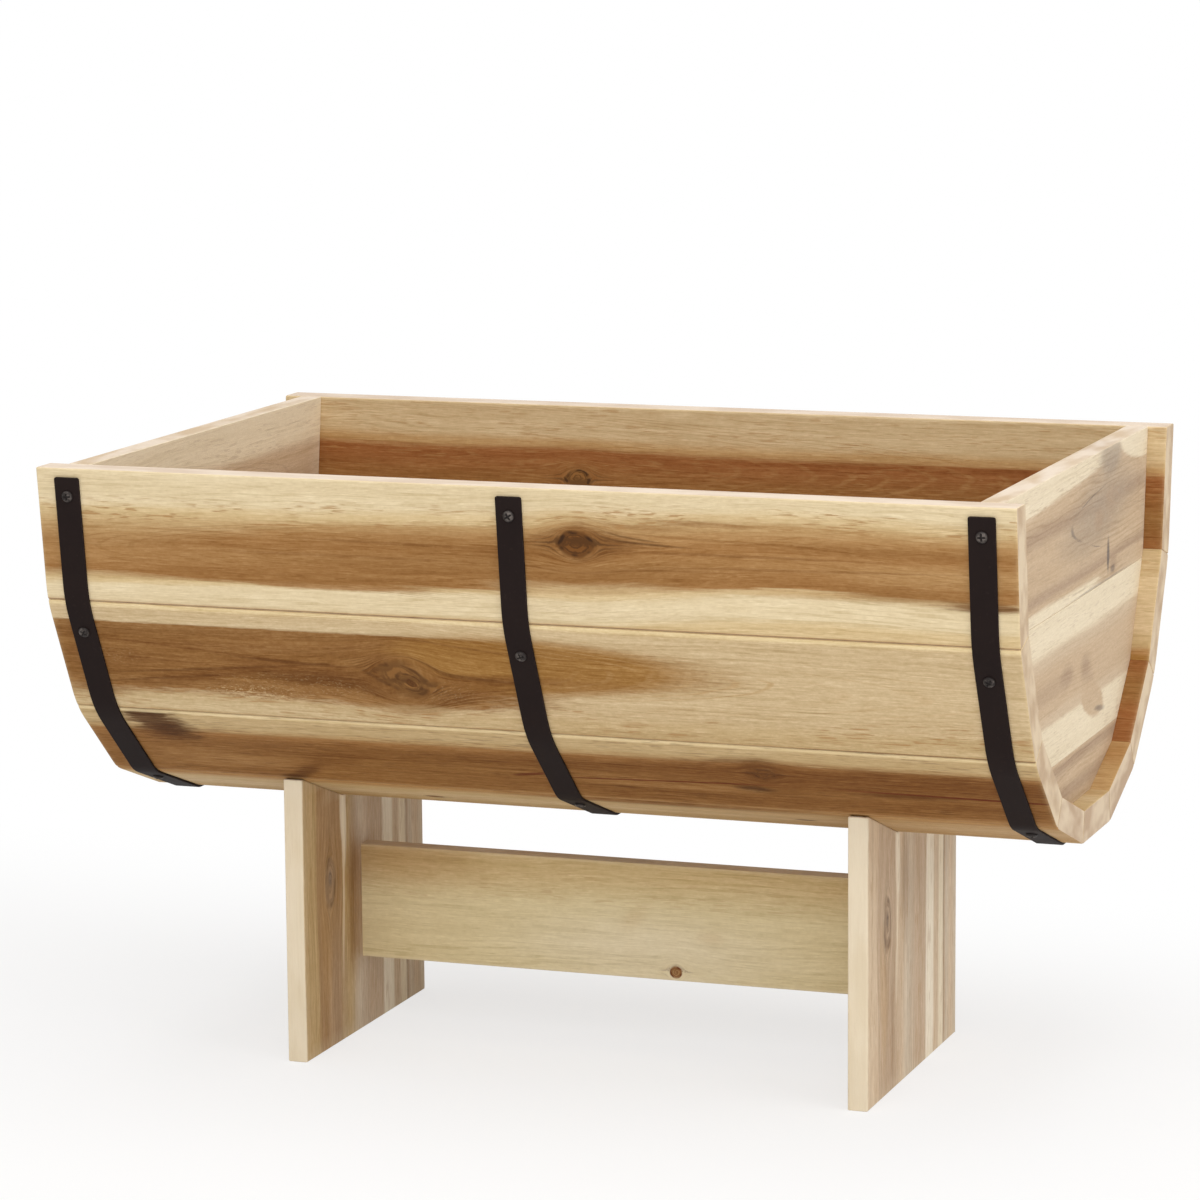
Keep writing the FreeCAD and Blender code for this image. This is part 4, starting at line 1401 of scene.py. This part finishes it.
skinBump = {"bump": 0.2, "bumpDepth": 0.0002}
bands = {
    "centres": {"left": -280.0, "middle": 0.0, "right": 280.0},
    "halfWidth": 8.0,
    "thickness": 1.5,
    "drop": 5.6,
    "tipRound": 1.2,
    "edgeRound": 0.4,
    "bendSteps": 8,
    "runStep": 9.0,
    "tipShares": (0.0, 0.15, 0.4, 0.7, 1.0),  # close rings that shape the rounded tip
    "tipWorn": 0.3,
    "metal": skinBump | {
        "coat": tone(30, 21, 20), "worn": tone(70, 58, 52), "wear": 0.4, "rough": 0.56, "shine": 0.08,
        "seed": 4.0,
    },
}
screwHeads = {
    "radius": 3.5,
    "dome": (2.0, 0.62),  # height, and how much of it the dome drops to the edge
    "domeSteps": 16,
    "domeCurve": 2.6,
    "shankRadius": 1.6,
    "tipRadius": 0.4,
    "edge": (0.08, 0.6),  # how far the head's edge is rounded, and its height
    "taper": 3.0,
    "lengths": {"end": 34.0, "middle": 16.0},
    "recess": {"from": 0.9, "deep": 1.2, "reach": 2.2, "half": 0.5},
    "across": {"rim": 17.0, "side": 21.3, "low": 19.6},
    "metal": skinBump | {
        "coat": tone(28, 22, 21), "worn": tone(112, 103, 97), "wear": 0.9, "rough": 0.4, "shine": 0.2,
        "seed": 9.0,
    },
}


def bandPath():  # places and outward directions, from the rim to the middle of the bottom
    names = list(reversed(staveNames))
    stations = []
    here = Vector(seams["rim"]) + Vector(downDirection("rim")) * bands["drop"]
    for name, following in zip(names, names[1:]):
        corner = Vector(seams[following])
        turn = mitres[following]
        radius = barrel["seamSoft"][following]
        back = radius * math.tan(turn)
        down = Vector(downDirection(name))
        end = corner - down * back
        tilt = math.radians(barrel["angles"][name])
        normal = Vector((math.sin(tilt), -math.cos(tilt)))
        stations += [(here.lerp(end, part), normal) for part in runParts((end - here).length, not stations)]
        centre = end - normal * radius
        for step in range(1, bands["bendSteps"]):
            angle = tilt - 2 * turn * step / bands["bendSteps"]
            outward = Vector((math.sin(angle), -math.cos(angle)))
            stations.append((centre + outward * radius, outward))
        here = corner + Vector(downDirection(following)) * back
    normal = Vector((0, -1))
    middle = Vector((0, seams["bottom"][1]))
    stations += [(here.lerp(middle, part), normal) for part in runParts((middle - here).length, False)]
    return stations


def downDirection(name):
    angle = math.radians(barrel["angles"][name])
    return (-math.cos(angle), -math.sin(angle))


def runParts(length, fromTip):
    count = max(1, round(length / bands["runStep"]))
    parts = [step / count for step in range(count + 1)]
    if fromTip:
        tip = [share * bands["tipRound"] / length for share in bands["tipShares"]]
        parts = tip + [part for part in parts if part > tip[-1] * 1.5]
    return parts


def bandSection(halfWidth, thickness, edge):  # rounded flat bar, (across, out)
    points = []
    inX, inN = halfWidth - edge, thickness - edge
    for centreX, centreN, start in ((inX, inN, 0), (-inX, inN, 90), (-inX, edge, 180), (inX, edge, 270)):
        for step in range(4):
            angle = math.radians(start + 30 * step)
            points.append(
                (centreX + edge * math.cos(angle), centreN + edge * math.sin(angle), step in (1, 2))
            )
    return points


def bandMesh(name, centre):
    half = bandPath()
    path = [(-spot.x, spot.y, -out.x, out.y) for spot, out in half]
    path += [(spot.x, spot.y, out.x, out.y) for spot, out in reversed(half[:-1])]
    tipRound = bands["tipRound"]
    tipPlace = Vector((path[0][0], path[0][1]))
    shape = bmesh.new()
    rings, edges = [], []
    for y, z, outY, outZ in path:
        fromTip = min((Vector((y, z)) - tipPlace).length, (Vector((-y, z)) - tipPlace).length)
        short = max(0.0, tipRound - fromTip)
        narrow = tipRound - math.sqrt(max(0.0, tipRound ** 2 - short ** 2))
        ring = []
        for across, out, edge in bandSection(
            bands["halfWidth"] - narrow, bands["thickness"], bands["edgeRound"],
        ):
            ring.append(
                shape.verts.new(((centre + across) * mm, (y + outY * out) * mm, (z + outZ * out) * mm))
            )
            edges.append(1.0 if edge or fromTip < bands["tipWorn"] else 0.0)
        rings.append(ring)
    skinRings(shape, rings)
    bmesh.ops.recalc_face_normals(shape, faces=shape.faces[:])
    data = meshFrom(shape, name)
    data.attributes.new("arris", "FLOAT", "POINT").data.foreach_set("value", edges)
    return data


bandMetal = metalMaterial("bandMetal", bands["metal"])
for label, centre in bands["centres"].items():
    name = "band" + label.capitalize()
    addPiece(name, bandMesh(name, centre), bandMetal, [f"band_{label}"])
print("bands done")


crossRecess = {
    "sides": 72,  # of the turned screw that it is pressed into
    "wallSoft": 0.14,
    "endSoft": 0.2,
    "endRise": 0.3,  # shallower at the arms' ends
    "rubbed": 0.6,  # bright metal round it, as a share of its reach, beyond which the head darkens to painted shade at its rim
}


def softWall(edge, soft, place):  # 1 inside an edge, 0 outside, eased over twice the softness
    share = min(max((edge + soft - place) / (2 * soft), 0.0), 1.0)
    return share * share * (3 - 2 * share)


def screwMesh(profile, recess):  # head on the plane z = 0, shank below it, cross recess pressed in
    data = lathe(profile, crossRecess["sides"], Matrix.Identity(4))
    half, reach = recess["half"], recess["reach"]
    data.attributes.new("arris", "FLOAT", "POINT")
    bright = data.attributes["arris"]
    for index, vertex in enumerate(data.vertices):
        x, y, z = vertex.co
        if z < recess["from"]:
            continue
        fromAxis, out = sorted((abs(x), abs(y)))
        walls = softWall(half, crossRecess["wallSoft"], fromAxis)
        cut = walls * softWall(reach, crossRecess["endSoft"], out)
        vertex.co.z = z - cut * recess["deep"] * (1.0 - crossRecess["endRise"] * out / reach)
        # worn bright round the recess; painted shade in the recess and towards the head's rim
        rubbed = 1.0 - max(0.0, (out - reach) / (reach * crossRecess["rubbed"]))
        bright.data[index].value = max(0.0, rubbed) * (1.0 - cut)
    return data


def joined(name, model, matrices):  # one mesh of a model set in several places
    shape = bmesh.new()
    for matrix in matrices:
        copy = model.copy()
        copy.transform(matrix)
        shape.from_mesh(copy)
        bpy.data.meshes.remove(copy)
    bpy.data.meshes.remove(model)
    return meshFrom(shape, name)


screwTurns = random.Random(17)
screwMetal = metalMaterial("screwMetal", screwHeads["metal"])
screwSides = (-1, 1)


def turned(seat):  # each screw stops at a turn of its own
    return seat @ Matrix.Rotation(screwTurns.uniform(0, math.pi), 4, "Z")


for label, centre in bands["centres"].items():
    length = screwHeads["lengths"]["middle" if label == "middle" else "end"]
    head, shank = screwHeads["radius"], screwHeads["shankRadius"]
    height, drop = screwHeads["dome"]
    radii = [head * step / screwHeads["domeSteps"] for step in range(screwHeads["domeSteps"])]
    profile = [
        (radius, height - height * drop * (radius / head) ** screwHeads["domeCurve"]) for radius in radii
    ]
    soft, edge = screwHeads["edge"]
    profile += [(head - soft, edge), (head, edge / 2), (head - soft, 0.0), (shank, 0.0)]
    profile += [(shank, screwHeads["taper"] - length), (screwHeads["tipRadius"], -length), (0, -length)]
    seats = []
    for side in screwSides:
        for stave, across in screwHeads["across"].items():
            seat = staveMatrix(stave, side) @ Matrix.Translation((across, -bands["thickness"], centre))
            seats.append(turned(seat @ Matrix.Rotation(math.radians(90), 4, "X")))
    name = "bandScrews" + label.capitalize()
    data = joined(name, screwMesh(profile, screwHeads["recess"]), seats)
    addPiece(name, data, screwMetal, [f"band_screws_{label}"])

head, shank, length = legScrews["headRadius"], legScrews["shankRadius"], legScrews["length"]
steps = screwHeads["domeSteps"]
flat = head - legScrews["topRound"]
edgeTop, edgeFoot = legScrews["edge"]
profile = [(flat * step / steps, -legScrews["sunk"]) for step in range(steps + 1)]
profile += [(head, -edgeTop), (head, -edgeFoot), (shank, -legScrews["cone"])]
profile += [(shank, legScrews["taper"] - length), (screwHeads["tipRadius"], -length), (0, -length)]
model = screwMesh(profile, legScrews["recess"])
seats = [turned(seat) for side in screwSides for seat in legScrewMatrices(side)]
addPiece("legScrews", joined("legScrews", model, seats), screwMetal, ["leg_screws"])
print("screws done")

dowels = {
    "radius": 3.0,
    "length": 30.0,
    "from": 152.0,
    "heights": (62.9, 102.9),
    "flutes": 12,
    "fluteDepth": 0.12,
    "bevel": (0.6, 0.8),  # in and along
    "steps": 8,
    "sides": 72,
    "look": {
        "seed": 97.0, "span": (-3.0, 3.0), "bands": [(-3, "pine"), (3, "pineDeep")], "dashes": 0.2,
        "sawn": [((1.0, 0.0, 0.0), "endPale", "endDark", 0.9)],
    },
}


def dowelMesh(name):  # four fluted pegs with eased ends
    radius, length = dowels["radius"], dowels["length"]
    inset, bevel = dowels["bevel"]
    core, neck = radius * 0.5, radius - inset
    profile = [(0, 0.0), (core, 0.0), (neck, 0.0), (radius, bevel)]
    profile += [
        (radius, bevel + (length - 2 * bevel) * step / dowels["steps"])
        for step in range(1, dowels["steps"])
    ]
    profile += [(radius, length - bevel), (neck, length), (core, length), (0, length)]
    peg = lathe(profile, dowels["sides"], Matrix.Identity(4))
    for vertex in peg.vertices:
        x, y, z = vertex.co
        if math.hypot(x, y) > radius - 0.1:  # the flutes
            sunk = dowels["fluteDepth"] * (1 + math.cos(dowels["flutes"] * math.atan2(y, x)))
            vertex.co.x, vertex.co.y = x * (1 - sunk / radius), y * (1 - sunk / radius)
    seats = []
    for sign in (-1, 1):
        for height in dowels["heights"]:
            seat = Matrix.Scale(mm, 4) @ Matrix.Translation((sign * dowels["from"], 0, height))
            seats.append(seat @ Matrix.Rotation(math.radians(90 * sign), 4, "Y"))
    data = joined(name, peg, seats)
    data.attributes.new("grain", "FLOAT_VECTOR", "POINT")
    grain = data.attributes["grain"]
    for index, vertex in enumerate(data.vertices):
        grain.data[index].vector = vertex.co / mm
    return data


dowelWood = woodMaterial("dowelWood", dowels["look"])
addPiece("dowels", dowelMesh("dowels"), dowelWood, ["stretcher_dowels"])
print("dowels done")

# Floor, light and camera

stage = {
    "floorSize": 6.0,
    "floorTone": (0.93, 0.92, 0.91, 1.0),
    "floorLift": 0.68,
    "clearFrom": 0.45,
    "clearAt": 1.1,
    "behindFrom": 0.1,
    "behindAt": 0.5,
    "worldLevel": 0.5,
    "white": (1.0, 1.0, 1.0, 1.0),
    "lampsAim": (0.0, 0.0, 0.22),
}


def lightPathShare():  # 1 for rays that see the backdrop, straight or in a reflection
    path = addNode("ShaderNodeLightPath").outputs
    return larger(path["Is Camera Ray"], larger(path["Is Glossy Ray"], path["Is Transmission Ray"]))


floorMesh = bpy.data.meshes.new("floor")
half = stage["floorSize"]
floorMesh.from_pydata(
    [(-half, -half, 0), (half, -half, 0), (half, half, 0), (-half, half, 0)], [], [(0, 1, 2, 3)],
)
floor = addObject("floor", floorMesh)
floorPaper = clearTree(bpy.data.materials.new("floorPaper"))
paper = addNode("ShaderNodeBsdfDiffuse", {"Color": stage["floorTone"]})
glow = addNode("ShaderNodeEmission", {"Color": stage["white"], "Strength": 1.0})
position = addNode("ShaderNodeNewGeometry").outputs["Position"]
away = ease(vectorCalc("LENGTH", position), stage["clearFrom"], stage["clearAt"])
behind = ease(split(position)[1], stage["behindFrom"], stage["behindAt"])
# plain white far from the object
clear = timesPlus(larger(away, behind), 1.0 - stage["floorLift"], stage["floorLift"])
lift = times(lightPathShare(), clear)
blend = addNode("ShaderNodeMixShader", {0: lift, 1: paper.outputs[0], 2: glow.outputs[0]})
addNode("ShaderNodeOutputMaterial", {"Surface": blend.outputs[0]})
floorMesh.materials.append(floorPaper)

scene.world = clearTree(bpy.data.worlds.new("studio"))
level = larger(lightPathShare(), stage["worldLevel"])
sky = addNode("ShaderNodeBackground", {"Color": stage["white"], "Strength": level})
addNode("ShaderNodeOutputWorld", {"Surface": sky.outputs[0]})

lamps = {
    "key": {"at": (0.3, -2.5, 2.4), "size": 2.4, "power": 32.0},
    "top": {"at": (0.0, -0.2, 3.0), "size": 2.4, "power": 28.0},
    "end": {"at": (2.6, -0.7, 1.9), "size": 2.0, "power": 29.0},
}
aim = Vector(stage["lampsAim"])
for name, lamp in lamps.items():
    light = bpy.data.lights.new(name, "AREA")
    light.size, light.energy = lamp["size"], lamp["power"]
    holder = addObject(name, light)
    holder.location = lamp["at"]
    holder.rotation_euler = (aim - Vector(lamp["at"])).to_track_quat("-Z", "Y").to_euler()

shot = {
    "imageWidth": 1200,
    "sensorWidth": 36.0,
    "focalPixels": 4618.94,
    "azimuth": 19.743,
    "elevation": 9.367,
    "roll": -0.4365,
    "sideways": -0.013716,
    "height": 0.282976,
    "distance": 2.84178,
    "clearTo": 50,
}
azimuth, elevation, roll = (math.radians(shot[name]) for name in ("azimuth", "elevation", "roll"))
right = Vector((math.cos(azimuth), math.sin(azimuth), 0))
backward = Vector(
    (math.sin(azimuth) * math.cos(elevation), -math.cos(azimuth) * math.cos(elevation), math.sin(elevation))
)
up = backward.cross(right)
target = right * shot["sideways"] + Vector((0, 0, shot["height"]))
lens = bpy.data.cameras.new("camera")
lens.sensor_width = shot["sensorWidth"]
lens.lens = shot["focalPixels"] * shot["sensorWidth"] / shot["imageWidth"]
lens.clip_end = shot["clearTo"]
camera = addObject("camera", lens)
turn = Matrix.Identity(4)
turn.col[0] = (*(right * math.cos(roll) + up * math.sin(roll)), 0)
turn.col[1] = (*(up * math.cos(roll) - right * math.sin(roll)), 0)
turn.col[2] = (*backward, 0)
turn.col[3] = (*(target + backward * shot["distance"]), 1)
camera.matrix_world = turn
scene.camera = camera
scene.view_settings.view_transform = "Standard"
print("stage, light and camera done")
